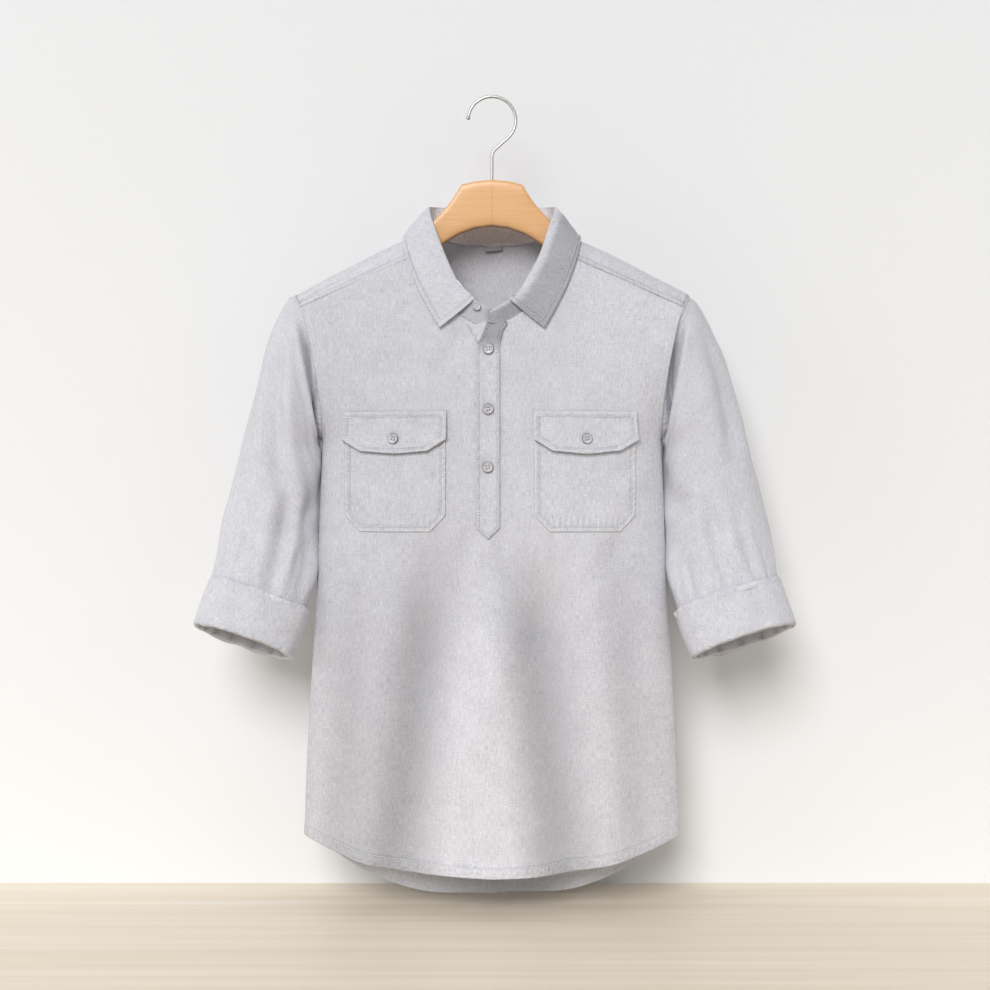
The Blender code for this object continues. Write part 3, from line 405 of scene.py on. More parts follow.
def along_at(front, back, t):
    """Distances along the cloth from its front to its back end, closer together over the arch."""
    bend = ARCH_RADIUS * pi / 2
    first = front + ARCH_DENSITY * np.clip(front, -bend, bend)
    last = back + ARCH_DENSITY * np.clip(back, -bend, bend)
    spread = first + (last - first) * t
    inside = np.abs(spread) <= bend * (1 + ARCH_DENSITY)
    return np.where(inside, spread / (1 + ARCH_DENSITY), spread - np.sign(spread) * ARCH_DENSITY * bend)


def yoke_surface(s, t):
    """The yoke over s, from its right to its left armhole, and t, from front to back seam."""
    reach = np.abs(s) * (NECK_COLUMNS + SHOULDER_COLUMNS)
    on_neck = np.clip(reach / NECK_COLUMNS, 0, 1) * YOKE_CORNER
    out = np.clip((reach - NECK_COLUMNS) / SHOULDER_COLUMNS, 0, 1)
    top_x = by_row(NECK, "x", on_neck) + (FRONT_TOP_X - YOKE_NECK_X) * out
    foot_x = np.interp(on_neck, np.arange(YOKE_CORNER + 1), YOKE_FEET)
    foot_x = foot_x + (half_width(YOKE_BACK_Z) - YOKE_FEET[-1]) * out
    front = np.where(out > 0, -along_for(top_x, yoke_seam(top_x)), by_row(NECK, "along", on_neck))
    back = along_for(foot_x, YOKE_BACK_Z)
    along = along_at(front + SEAM_GAP, back - SEAM_GAP / 2, t)
    share = (along - front) / (back - front)
    straight_edge = FRONT_TOP_X + (half_width(YOKE_BACK_Z) - FRONT_TOP_X) * share
    x = top_x + (foot_x - top_x) * share + (armhole_edge(along) - straight_edge) * out**3
    return over_shoulder(np.sign(s) * x, along)


def length_share(points):
    """How far along a line each of its points lies, from 0 to 1."""
    steps = np.linalg.norm(np.diff(points, axis=0), axis=1)
    length = np.concatenate([[0], np.cumsum(steps)])
    return length / length[-1]


def ring_points(ring, turns, side):
    """A sleeve's ring, from its outer point round the front to its inner point and back."""
    outer_x = ring.outer_x + ring.sway * (side > 0)
    outer = np.array([outer_x, ring.y, ring.outer_z])
    inner = np.array([ring.inner_x, ring.y, ring.inner_z])
    out = (outer - inner) / 2
    forward = np.array([0, -cos(radians(ring.tilt)), sin(radians(ring.tilt))]) * ring.depth
    turns = turns[:, None]
    return (outer + inner) / 2 + out * np.cos(turns) + forward * np.sin(turns)


def inset(ring, distance):
    """The ring moved inwards in its own plane."""
    tangent = unit(np.roll(ring, -1, axis=0) - np.roll(ring, 1, axis=0))
    centre = ring.mean(axis=0)
    axis = np.cross(ring - centre, tangent).sum(axis=0)
    inward = unit(np.cross(axis / np.linalg.norm(axis), tangent))
    return ring + inward * distance


def between(first, second, share):
    return Ring(*(a + (b - a) * share for a, b in zip(first, second)))


def mirrored(points, side):
    return points * np.array([side, 1, 1])


def whole_neck(half):
    """A half of the neck's points, from centre back to front, made whole from right to left."""
    return np.concatenate([mirrored(half[::-1], -1), half[1:]])


# Looks only: creases, trims and stitching
THIN = 0.0008
TUCK = 0.0040
TUCK_DEPTH = 0.0007
STITCH = 0.0031
STITCH_RADIUS = 0.00038
STITCH_IN = 0.0058
YOKE_STITCH_IN = 0.0062
PLACKET_STITCH_IN = 0.0026
PANEL_LENGTH = 0.64
HEM_STEPS = (0.026, 0.022, 0.0185, 0.0165, 0.0145, 0.0125, 0.010, 0.0075, 0.005, 0.0025, 0.001, 0)
# How much wider than its fold the painted fold shade spreads, and the fold depth that paints it fully
HOLLOW_SPREAD = 1.3
HOLLOW_DEPTH = 0.0100
SLEEVE_RADIUS = 0.055
SLEEVE_LENGTH = 0.36
CUFF_LIP = ((0.12, 1.0), (0.03, 0.95), (-0.004, 0.72), (-0.012, 0.40))
STAND_ROWS = (-0.03, 0.01, 0.04, 0.08, 0.14, 0.22, 0.32, 0.44, 0.56, 0.68, 0.80, 0.88, 0.94, 0.98, 1.0)
STAND_SHADED = 14
LEAF_LAST_PLACES = (8.68, 8.75, 8.81, 8.86, 8.90, 8.935, 8.965, 8.985, 9)
LEAF_LAST_SHARES = (0.862, 0.885, 0.905, 0.925, 0.943, 0.958, 0.972, 0.984, 0.993, 1.0)
HEAD_POWER = 7.0
END_POWER = 2.0
WIRE_SIDES = 20

Crease = namedtuple("Crease", "side x z to_x to_z width depth")
BODY_CREASES = (
    Crease(FRONT, -0.196, -0.385, -0.150, -0.440, 0.0100, 0.0022),
    Crease(FRONT, -0.188, -0.430, -0.130, -0.520, 0.0140, 0.0024),
    Crease(FRONT, 0.196, -0.380, 0.140, -0.445, 0.0110, 0.0022),
    Crease(FRONT, 0.190, -0.440, 0.128, -0.540, 0.0150, 0.0026),
    Crease(FRONT, -0.186, -0.262, -0.172, -0.300, 0.0050, 0.0011),
    Crease(FRONT, -0.172, -0.256, -0.160, -0.290, 0.0045, 0.0009),
    Crease(FRONT, 0.184, -0.260, 0.168, -0.300, 0.0050, 0.0010),
    Crease(FRONT, 0.010, -0.500, 0.022, -0.560, 0.0080, 0.0012),
    Crease(FRONT, -0.022, -0.500, -0.036, -0.570, 0.0090, 0.0013),
    Crease(FRONT, -0.030, -0.275, -0.060, -0.330, 0.0120, 0.0014),
    Crease(FRONT, 0.028, -0.270, 0.062, -0.330, 0.0120, 0.0014),
    Crease(BACK, -0.190, -0.400, -0.110, -0.500, 0.0150, 0.0028),
    Crease(BACK, 0.190, -0.395, 0.120, -0.480, 0.0140, 0.0026),
    Crease(BACK, 0.184, -0.460, 0.100, -0.590, 0.0180, 0.0026),
    Crease(BACK, -0.060, -0.280, -0.040, -0.360, 0.0090, 0.0018),
    Crease(BACK, 0.064, -0.285, 0.050, -0.350, 0.0090, 0.0016),
)

# The soft flanks of the main folds, which the cloth adds to those of the solids.
DRAPES = (
    Fold(FRONT, -0.030, -0.074, -0.430, -0.620, 0.034, 0.0085),
    Fold(FRONT, -0.088, -0.142, -0.440, -0.640, 0.034, -0.0042),
    Fold(FRONT, 0.046, 0.098, -0.450, -0.620, 0.034, 0.0080),
    Fold(FRONT, 0.006, 0.022, -0.470, -0.650, 0.034, -0.0042),
    Fold(FRONT, 0.120, 0.146, -0.430, -0.640, 0.026, -0.0030),
    Fold(BACK, -0.040, -0.066, -0.270, -0.480, 0.034, 0.0060),
    Fold(BACK, 0.072, 0.110, -0.280, -0.500, 0.034, 0.0060),
    Fold(BACK, 0.014, 0.030, -0.380, -0.600, 0.034, -0.0040),
)

Ripple = namedtuple("Ripple", "across down turn size")
RIPPLES = (
    Ripple(21.0, 6.0, 0.7, 0.0007),
    Ripple(-13.0, 9.0, 2.1, 0.0008),
    Ripple(34.0, -11.0, 4.0, 0.0004),
    Ripple(9.0, 23.0, 1.3, 0.0004),
    Ripple(-47.0, 17.0, 5.2, 0.00022),
    Ripple(62.0, 31.0, 3.3, 0.00014),
)

# Sleeve creases run between two places, given by turn in degrees from the outer line
# and by share of the sleeve's length.
Furrow = namedtuple("Furrow", "side turn share to_turn to_share width depth")
SLEEVE_FURROWS = (
    Furrow(-1, 112, 0.62, 106, 1.00, 0.0100, 0.0066),
    Furrow(-1, 146, 0.60, 140, 0.98, 0.0200, 0.0050),
    Furrow(-1, 132, 0.84, 126, 1.00, 0.0050, 0.0018),
    Furrow(-1, 66, 0.86, 62, 1.00, 0.0040, 0.0016),
    Furrow(-1, 44, 0.88, 42, 1.00, 0.0034, 0.0014),
    Furrow(-1, 84, 0.90, 82, 1.00, 0.0030, 0.0009),
    Furrow(-1, 150, 0.56, 112, 0.80, 0.0130, 0.0026),
    Furrow(-1, 54, 0.24, 104, 0.66, 0.0150, 0.0062),
    Furrow(-1, 150, 0.26, 100, 0.44, 0.0140, 0.0026),
    Furrow(1, 100, 0.66, 92, 1.00, 0.0085, 0.0050),
    Furrow(1, 146, 0.60, 142, 0.98, 0.0180, 0.0046),
    Furrow(1, 70, 0.78, 58, 1.00, 0.0060, 0.0022),
    Furrow(1, 134, 0.86, 138, 1.00, 0.0050, 0.0018),
    Furrow(1, 40, 0.90, 38, 1.00, 0.0034, 0.0012),
    Furrow(1, 150, 0.54, 96, 0.78, 0.0140, 0.0030),
    Furrow(1, 40, 0.22, 52, 0.56, 0.0130, 0.0050),
    Furrow(1, 150, 0.24, 106, 0.42, 0.0140, 0.0026),
    Furrow(-1, 250, 0.74, 238, 1.00, 0.0080, 0.0034),
    Furrow(-1, 296, 0.84, 300, 1.00, 0.0060, 0.0022),
    Furrow(-1, 200, 0.46, 262, 0.68, 0.0150, 0.0032),
    Furrow(-1, 214, 0.22, 284, 0.40, 0.0150, 0.0030),
    Furrow(1, 246, 0.76, 256, 1.00, 0.0080, 0.0034),
    Furrow(1, 300, 0.86, 294, 1.00, 0.0060, 0.0022),
    Furrow(1, 204, 0.48, 266, 0.70, 0.0150, 0.0032),
    Furrow(1, 212, 0.24, 280, 0.42, 0.0150, 0.0028),
)


def along_line(px, pz, crease):
    """Distance from a crease's line and a weight that dies away past its ends."""
    run = np.array([crease.to_x - crease.x, crease.to_z - crease.z])
    length = np.hypot(*run)
    run = run / length
    dx, dz = px - crease.x, pz - crease.z
    along = (dx * run[0] + dz * run[1]) / length
    off = dx * run[1] - dz * run[0]
    ends = ease((along + 0.25) / 0.5) * ease((1.25 - along) / 0.5)
    return off, ends


def ripple(across, down):
    """Slow uneven waves, as in cloth that has been worn and hung."""
    total = 0.0
    for row in RIPPLES:
        total = total + row.size * np.sin(across * row.across * 2 + down * row.down * 2 + row.turn)
    return total


def painted_fold_shade(x, z, side):
    """Painted shade on a point of the body's colour: in the main folds, near one side edge and toward -X. Below
    0, on a crest, near the other side edge and toward +X, it is painted light.
    """
    soft = [fold._replace(width=HOLLOW_SPREAD * fold.width) for fold in FOLDS]
    depth = np.clip(fold_sum(x, z, soft, side) / HOLLOW_DEPTH, -0.2, 1)
    from_edge = half_width(np.minimum(z, FRONT_TOP_Z)) - np.abs(x)
    lit, shaded = -bell(from_edge - 0.015, 0.012), bell(from_edge - 0.010, 0.016)
    turned = 0.05 * np.where(x * side > 0, lit, shaded)
    return depth + turned * ease((-0.38 - z) / 0.06) + painted_side_shade(x)


def painted_side_shade(x):
    """Painted shade toward -X and painted light toward +X, across the body's width."""
    return -0.20 * np.clip(x / 0.18, -1, 1)


def relief(x, z, side):
    """How far the creases and waves take the body's cloth inwards."""
    total = ripple(x + 0.3 * side, z) + fold_sum(x, z, DRAPES, side)
    for crease in (row for row in BODY_CREASES if row.side == side):
        off, ends = along_line(x, z, crease)
        total = total + crease.depth * ends * bell(off, crease.width)
        total = total - 0.45 * crease.depth * ends * bell(off - 1.9 * crease.width, crease.width)
    return total


def body(x, z, side):
    """Outer face of the front or the back."""
    reach = body_reach(x, z, side) - relief(x, z, side) * off_seam(x, np.minimum(z, FRONT_TOP_Z))
    return np.stack(np.broadcast_arrays(x, side * np.maximum(reach, 0.0), z), axis=-1)


def panel(side, top_edge, bottom_z):
    """A panel over s, from side to side, and t, from its top to its hem."""

    def surface(s, t):
        top = top_edge(s)
        rise = curve_through(column(HEM_CURVE, "across"), column(HEM_CURVE, "rise"), np.abs(s))
        z = top + (bottom_z + (HEM_CORNER_Z - bottom_z) * rise - top) * t
        return body(s * half_width(np.minimum(z, FRONT_TOP_Z)), z, side)

    return surface


def grid_normals(points, wrap=False):
    """Unit normals of a grid, rows first: across the columns by down the rows."""
    if wrap:
        across = np.roll(points, -1, axis=1) - np.roll(points, 1, axis=1)
    else:
        across = np.gradient(points, axis=1)
    return unit(np.cross(across, np.gradient(points, axis=0)))


def lengths(points, axis):
    """Distances along a grid's rows or columns."""
    steps = np.linalg.norm(np.diff(points, axis=axis), axis=-1)
    first = np.zeros_like(np.take(steps, [0], axis=axis))
    return np.concatenate([first, np.cumsum(steps, axis=axis)], axis=axis)


# Places near a piece's edge, for its roll and its topstitching
EDGE_STEPS = (0.0, 0.0008, 0.002, 0.0038, 0.0058, 0.0082, 0.011)
STRIP_STEPS = (0.0, 0.0007, 0.0016, 0.0026, 0.0038)


def clustered(count, length, steps=EDGE_STEPS):
    """Shares of a length, closer together at its ends."""
    low = np.array(steps) / length
    return np.concatenate([low[:-1], np.linspace(low[-1], 1 - low[-1], count), 1 - low[:-1][::-1]])


MATERIALS = {}


def new_mesh(name, verts, faces, uvs, masks=None):
    """A mesh from arrays of corners, quads and the quads' UVs, with per-vertex masks."""
    mesh = bpy.data.meshes.new(name)
    mesh.vertices.add(len(verts))
    mesh.vertices.foreach_set("co", verts.astype(np.float32).ravel())
    mesh.loops.add(faces.size)
    mesh.loops.foreach_set("vertex_index", faces.astype(np.int32).ravel())
    mesh.polygons.add(len(faces))
    mesh.polygons.foreach_set("loop_start", np.arange(0, faces.size, 4, dtype=np.int32))
    layer = mesh.uv_layers.new(name="Cloth")
    layer.uv.foreach_set("vector", uvs.astype(np.float32).ravel())
    for mask, values in (masks or {}).items():
        attribute = mesh.attributes.new(mask, "FLOAT", "POINT")
        attribute.data.foreach_set("value", values.astype(np.float32).ravel())
    mesh.update()
    mesh.validate()
    mesh.shade_smooth()
    return mesh


def show(name, mesh, material):
    mesh.materials.append(MATERIALS[material])
    made = linked(name, mesh)
    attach(made, "root")
    return made


def straight_grain(points):
    """UVs whose threads hang straight down, measured round the body's widest row."""
    widest = points[np.argmax(points[:, -1, 0] - points[:, 0, 0])]
    return np.interp(points[..., 0], widest[:, 0], lengths(widest[None], 1)[0]), -points[..., 2]


def corners(grid):
    """The four corners of each of a grid's cells, in turn."""
    return grid[:-1, :-1], grid[:-1, 1:], grid[1:, 1:], grid[1:, :-1]


def quads(*corner):
    return np.stack(corner, axis=-1).reshape(-1, 4)


def closed_round(grid):
    return np.concatenate([grid, grid[:, :1]], axis=1)


def tube(name, rings, flipped=False):
    """A mesh through rings of points, each joined to the next."""
    rows, cols = rings.shape[:2]
    faces = quads(*corners(closed_round(np.arange(rows * cols).reshape(rows, cols))))
    faces = faces[:, ::-1] if flipped else faces
    return new_mesh(name, rings.reshape(-1, 3), faces, np.zeros((faces.size, 2)))


def shell(node, outer, outward, thickness=THIN, wrap=False,
          pucker=0.0, painted_shade=0.0, lie=None, material="cloth"):
    """A thin closed shell of cloth under an outer face given as a grid of points, shown for a node."""
    normal = outward * grid_normals(outer, wrap)
    inner = outer - normal * np.broadcast_to(np.asarray(thickness, float)[..., None], outer.shape)
    rows, cols = outer.shape[:2]
    below = rows * cols
    index, closed = np.arange(below).reshape(rows, cols), outer
    if wrap:
        index, closed = closed_round(index), closed_round(outer)
    if lie is None:
        across = lengths(closed, 1)
        lie = across - across[:, [across.shape[1] // 2]], lengths(closed, 0)
    uv = np.stack(lie, axis=-1)
    face, coord = quads(*corners(index)), np.stack(corners(uv), axis=2).reshape(-1, 4, 2)
    faces, coords = [face, face[:, ::-1] + below], [coord, coord[:, ::-1]]
    rims = [(index[0], uv[0], True), (index[-1], uv[-1], False)]
    if not wrap:
        rims += [(index[:, 0], uv[:, 0], False), (index[:, -1], uv[:, -1], True)]
    for line, line_uv, turned in rims:
        a, b, uv_a, uv_b = line[:-1], line[1:], line_uv[:-1], line_uv[1:]
        faces.append(quads(a, a + below, b + below, b) if turned else quads(a, b, b + below, a + below))
        coords.append(np.stack((uv_a, uv_a, uv_b, uv_b) if turned else (uv_a, uv_b, uv_b, uv_a), axis=1))
    faces, coords = np.concatenate(faces), np.concatenate(coords)
    if outward < 0:
        faces, coords = faces[:, ::-1], coords[:, ::-1]
    # The second mask carries painted shade, and painted light below 0, into the cloth's colour; every inner face
    # gets painted light.
    masks = {}
    for mask, values, behind in (("pucker", pucker, 0.0), ("painted_shade", painted_shade, -INSIDE_PAINTED_LIGHT)):
        values = np.broadcast_to(values, (rows, cols)).ravel()
        masks[mask] = np.concatenate([values, np.full(below, behind)])
    verts = np.concatenate([outer.reshape(-1, 3), inner.reshape(-1, 3)])
    name = f"{node}_cloth"
    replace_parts(show(name, new_mesh(name, verts, faces, coords, masks), material), node)


STITCHES = []
# Strength of the painted shade along lines of stitching, and of the painted light on the cloth's inner faces.
SEAM_SHADE = 0.45
INSIDE_PAINTED_LIGHT = 0.40


def stitch(points, forward=0.0, up=0.0):
    """Notes one line of stitching, on points moved a little off the cloth."""
    STITCHES.append(points + np.array([0, -forward, up]))


def topstitch(distance, at=STITCH_IN):
    """Thickness and groove of an edge that is turned in and stitched down."""
    roll = 0.00034 * np.clip(distance / 0.0012, 0, 1) * ease((at + 0.0012 - distance) / 0.0024)
    groove = 0.00080 * bell(distance - at, 0.0012)
    return roll - groove


def near_seam(distance, width=0.008):
    return np.exp(-np.maximum(distance, 0) / width)


def make_panel(node, side, surface, half, rows, seam):
    """The front or the back, tucked under the yoke at its top and turned up at its hem."""
    low = 1 - np.array(HEM_STEPS) / PANEL_LENGTH
    down = np.concatenate([[0, 0.003, 0.006, 0.010], np.linspace(0.015, 0.955, rows), low])
    s, t = np.meshgrid(np.concatenate([-half[:0:-1], half]), down)
    points = surface(s, t)
    to_seam = seam(s) - points[..., 2]
    points[..., 1] -= side * TUCK_DEPTH * ease((0.001 - to_seam) / 0.002)
    hem = (1 - t) * PANEL_LENGTH
    points = points + side * grid_normals(points) * hem_relief(hem)[..., None]
    if side == FRONT:
        press_behind_plackets(points)
    pucker = np.maximum(bell(hem - HEM_TURN * 0.6, 0.008), near_seam(to_seam) * 0.8)
    # Painted shade and light from the folds and side edges, and painted shade along the hem's stitching.
    painted_shade = painted_fold_shade(points[..., 0], points[..., 2], side) + SEAM_SHADE * bell(hem - HEM_TURN, 0.0012)
    shell(node, points, side, pucker=pucker, painted_shade=painted_shade, lie=straight_grain(points))
    return surface(s[-1], 1 - HEM_TURN / PANEL_LENGTH + 0 * s[-1])


def make_front():
    surface = panel(FRONT, lambda s: front_top(s) + TUCK, FRONT_HEM_Z)
    parts = np.linspace(0, 0.30, 34), np.linspace(0.30, 0.90, 46)[1:], np.linspace(0.90, 1, 18)[1:]
    stitch(make_panel("front", FRONT, surface, np.concatenate(parts), 150, front_top), 0.0002)
    for side in (-1, 1):
        z = np.linspace(FRONT_TOP_Z - 0.004, UNDERARM_Z + 0.004, 60)
        stitch(body(side * (half_width(z) - 0.0065), z, FRONT), 0.0002)


HEM_TURN = 0.0120


def hem_relief(distance):
    """A turned and stitched hem, thicker at the edge and drawn in along its stitching."""
    roll = 0.00045 * ease((HEM_TURN - distance) / 0.0015)
    return roll - 0.0003 * bell(distance - HEM_TURN, 0.0014)


def press_behind_plackets(points):
    """Takes the cloth behind the plackets a little inwards, so that they lie on it."""
    x, z = points[..., 0], points[..., 2]
    inside = bell(x - PLACKET_CENTRE, 0.010) * ease((z + 0.50) / 0.01)
    points[..., 1] += 0.0003 * inside


def make_back():
    surface = panel(BACK, lambda s: back_top(s) + TUCK, BACK_HEM_Z)
    half = np.concatenate([np.linspace(0, 0.90, 66), np.linspace(0.90, 1, 16)[1:]])
    stitch(make_panel("back", BACK, surface, half, 130, lambda s: YOKE_BACK_Z), -0.0003)


# Lines of stitching on the yoke, as shares of the way from its front seam to its back one
YOKE_FRONT_STITCHES = (0.014, 0.062)
YOKE_BACK_STITCHES = (0.988, 0.955)


def make_yoke():
    half = np.linspace(0, 1, 80)
    ends = [0, 0.004, 0.010, 0.018, 0.028, 0.040], [0.962, 0.974, 0.984, 0.992, 1]
    down = np.concatenate([ends[0], np.linspace(0.055, 0.95, 74), ends[1]])
    s, t = np.meshgrid(np.concatenate([-half[:0:-1], half]), down)
    points = yoke_surface(s, t)
    down = lengths(points, 0)
    on_seam = np.abs(s) * (NECK_COLUMNS + SHOULDER_COLUMNS) > NECK_COLUMNS
    to_front, to_back = np.where(on_seam, down, 1), down[-1] - down
    swell = topstitch(to_front, YOKE_STITCH_IN) + topstitch(to_back, YOKE_STITCH_IN)
    swell = swell - 0.00025 * bell(to_front - 0.0020, 0.0010)
    wave = ripple(points[..., 0], points[..., 1] * 2 + 0.4) * ease(np.minimum(down, to_back) / 0.02)
    points = points + grid_normals(points) * (swell - 0.6 * wave)[..., None]
    pucker = np.maximum(near_seam(to_front), near_seam(to_back))
    # Painted shade along the yoke's front seam and along its lines of stitching.
    painted_shade = bell(to_front - 0.0006, 0.0009) + bell(to_front - YOKE_STITCH_IN, 0.0010)
    painted_shade = SEAM_SHADE * (painted_shade + bell(to_back - YOKE_STITCH_IN, 0.0010))
    shell("yoke", points, 1, pucker=pucker, painted_shade=painted_shade, lie=(points[..., 0] * 1.12, down))
    ends = np.linspace(NECK_COLUMNS / (NECK_COLUMNS + SHOULDER_COLUMNS), 1, 90)
    for side in (-1, 1):
        for share in YOKE_FRONT_STITCHES:
            stitch(yoke_surface(side * ends, np.full(90, share)), 0.0003, 0.0002)
    across = np.linspace(-1, 1, 180)
    for share in YOKE_BACK_STITCHES:
        stitch(yoke_surface(across, np.full(180, share)), -0.0003)


NECK_COLUMNS, SHOULDER_COLUMNS = 12, 6
ARCH_DENSITY = 2.0
EDGE_ROUNDS = 8
ARMHOLE_SAMPLES = 60


def armhole_curve():
    """The left armhole, closely sampled, and each point's turn round it."""
    yoke_rows = np.linspace(0, 1, 2 * ARMHOLE_SAMPLES)
    yoke = yoke_surface(np.ones(len(yoke_rows)), yoke_rows)
    crest = int(np.argmax(yoke[:, 2]))
    share = np.sin(np.linspace(0, pi / 2, ARMHOLE_SAMPLES + 1))[1:]
    front_z = FRONT_TOP_Z + (UNDERARM_Z - FRONT_TOP_Z) * share
    back_z = YOKE_BACK_Z + (UNDERARM_Z - YOKE_BACK_Z) * share[:-1]
    front = body(half_width(front_z), front_z, FRONT)
    back = body(half_width(back_z), back_z, BACK)
    down = np.vstack([yoke[crest::-1], front])
    up = np.vstack([down[-1:], back[::-1], yoke[:crest:-1], down[:1]])
    down_turn, up_turn = pi * length_share(down), pi + pi * length_share(up)
    return np.vstack([down, up[1:]]), np.concatenate([down_turn, up_turn[1:]])


def between_rings(rings, place):
    """Rings of points read smoothly between the given ones."""
    stacked = np.stack(rings)
    slopes = np.gradient(stacked, axis=0)
    cell = np.clip(place.astype(int), 0, len(rings) - 2)
    t = (place - cell)[:, None, None]
    return hermite(t, stacked[cell], stacked[cell + 1], slopes[cell], slopes[cell + 1])


SLEEVE_COLUMNS = 132
SLEEVE_ENDS_DOWN_CUFF = 0.45
SLEEVE_OFF_ARMHOLE = 0.0006
ARMHOLE_CREASE = 0.0240
CUFF_PLEATS = 0.0045
CUFF_THIN = 0.0007


def sleeve_points(side, place):
    turns = np.arange(SLEEVE_COLUMNS) * 2 * pi / SLEEVE_COLUMNS
    curve, curve_turns = armhole_curve()
    start = np.stack([np.interp(turns, curve_turns, curve[:, i]) for i in range(3)], axis=1)
    start = start - np.array([SLEEVE_OFF_ARMHOLE, 0, 0])
    end = ring_points(between(CUFF_TOP, CUFF_BOTTOM, SLEEVE_ENDS_DOWN_CUFF), turns, side)
    rings = [ring_points(row, turns, side) for row in SLEEVE_RINGS]
    rings = [start, *rings, inset(end, CUFF_WALL + CUFF_GROOVE)]
    return between_rings(rings, place), turns


def outward_of(points, normal, row):
    """1 where a tube's normals point away from its axis, and -1 where they point toward it."""
    return np.sign((normal[row, 0] * (points[row, 0] - points[row].mean(axis=0))).sum())


def furrow_relief(side, turn, share):
    """How far the creases of one sleeve take it inwards, each with a ridge along either side."""
    total = np.zeros(np.broadcast(turn, share).shape)
    for row in (row for row in SLEEVE_FURROWS if row.side == side):
        start = radians(row.turn) * SLEEVE_RADIUS, row.share * SLEEVE_LENGTH
        end = radians(row.to_turn) * SLEEVE_RADIUS, row.to_share * SLEEVE_LENGTH
        line = Crease(0, *start, *end, row.width, row.depth)
        off, ends = along_line(turn * SLEEVE_RADIUS, share * SLEEVE_LENGTH, line)
        for weight, beside in ((1, 0), (-0.55, 1.7), (-0.35, -1.8)):
            total += weight * row.depth * ends * bell(off - beside * row.width, row.width)
    return total


def make_sleeve(name, side):
    place = np.concatenate([np.linspace(0, 0.5, 14)[:-1], np.linspace(0.5, 10, 96)])
    points, turns = sleeve_points(side, place)
    share, turn = place[:, None] / 10, turns[None, :]
    inward = furrow_relief(side, turn, share)
    inward += 1.3 * ripple(np.sin(turn) * 0.11 + side, share * 0.5 + np.cos(turn) * 0.05)
    gathers = 0.0005 * np.sin(turn * 21 + 2 * np.sin(turn * 3)) * ease((share - 0.88) / 0.12)
    inward = (inward + gathers) * ease(share / 0.06) * ease((1.03 - share) / 0.05)
    inward = inward * np.where(inward < 0, ease((0.955 - share) / 0.05), ease((0.990 - share) / 0.06))
    front = ease((turn - radians(30)) / radians(60)) * ease((radians(184) - turn) / radians(16))
    inward += ARMHOLE_CREASE * front * ease(share / 0.008) * ease((0.072 - share) / 0.042)
    normal = grid_normals(points, wrap=True)
    outward = outward_of(points, normal, 40)
    points = points - outward * normal * inward[..., None]
    points = points + outward * normal * (topstitch(lengths(points, 0), 0.004) * 0.7)[..., None]
    points = mirrored(points, side)
    pucker = near_seam(lengths(points, 0), 0.007) + 0.6 * ease((share - 0.90) / 0.05)
    round_it = np.arange(SLEEVE_COLUMNS + 1)[None, :] * 2 * pi / SLEEVE_COLUMNS
    lie = np.broadcast_arrays(round_it * 0.062, share * 0.40)
    shell(name, points, outward * side, wrap=True, pucker=pucker, lie=lie)


def make_cuff(name, side):
    """The turned-up cuff: a soft roll outside, folded at its foot, and the sleeve's lining inside."""
    t = np.arange(SLEEVE_COLUMNS) * 2 * pi / SLEEVE_COLUMNS
    inner_face = CUFF_WALL + CUFF_GROOVE + CLOTH
    bend = inner_face / 2
    profile = [(down, share * CUFF_WALL) for down, share in CUFF_LIP] + [(-0.004, 0.0003), (0.03, 0.0)]
    profile += [(d, -0.0006 * sin(pi * d)) for d in np.linspace(0.08, 0.90, 24)]
    profile += [(0.955 + 0.045 * sin(a), bend - bend * cos(a)) for a in np.linspace(0, pi, 13)]
    profile += [(d, inner_face) for d in np.linspace(0.90, 0.10, 16)]
    rings = (ring_points(between(CUFF_TOP, CUFF_BOTTOM, d), t, side) for d, _ in profile)
    points = np.stack([inset(ring, inward) for ring, (_, inward) in zip(rings, profile)])
    down, inward = np.array(profile).T[:, :, None]
    inside = inward > bend
    wave = 0.0012 * np.sin(3 * t + side) + 0.0007 * np.sin(7 * t + 2) + 0.0004 * np.sin(13 * t + side * 2)
    pleats = np.abs(np.sin(9 * t + 1.2 * np.sin(2 * t) + side)) ** 0.6 - 0.6
    out = np.where(inside, CUFF_PLEATS * pleats * ease((0.985 - down) / 0.10), wave * (0.3 + np.abs(down - 0.5)))
    normal = grid_normals(points, wrap=True)
    outward = outward_of(points, normal, 14)
    points = points + outward * normal * out[..., None]
    points[..., 2] += 0.0006 * np.sin(3 * t + side) + 0.0003 * np.sin(8 * t)
    pucker = np.clip(bell(down - 0.02, 0.10) + bell(down - 0.96, 0.06), 0, 1) * ~inside
    shell(name, mirrored(points, side), outward * side, CUFF_THIN, wrap=True, pucker=pucker)


def neck_points(place):
    """The neck seam, the collar's fold and the leaf's edge, at places between the rows of NECK."""
    x, along = by_row(NECK, "x", place), by_row(NECK, "along", place)
    fold = np.stack([by_row(NECK, name, place) for name in ("fold_x", "fold_y", "fold_z")], axis=-1)
    leaf_x, leaf_along = by_row(NECK, "leaf_x", place), by_row(NECK, "leaf_along", place)
    step = 1e-4
    across = over_shoulder(leaf_x + step, leaf_along) - over_shoulder(leaf_x - step, leaf_along)
    down = over_shoulder(leaf_x, leaf_along + step) - over_shoulder(leaf_x, leaf_along - step)
    lift = by_row(NECK, "lift", place)[..., None] * unit(np.cross(across, down))
    return over_shoulder(x, along), fold, over_shoulder(leaf_x, leaf_along) + lift


def with_ends(line, first, last):
    """A line of points carried on to two ends, by way of a point halfway to each."""
    first, last = np.array([first]), np.array([last])
    return np.concatenate([first, (first + line[:1]) / 2, line, (last + line[-1:]) / 2, last])


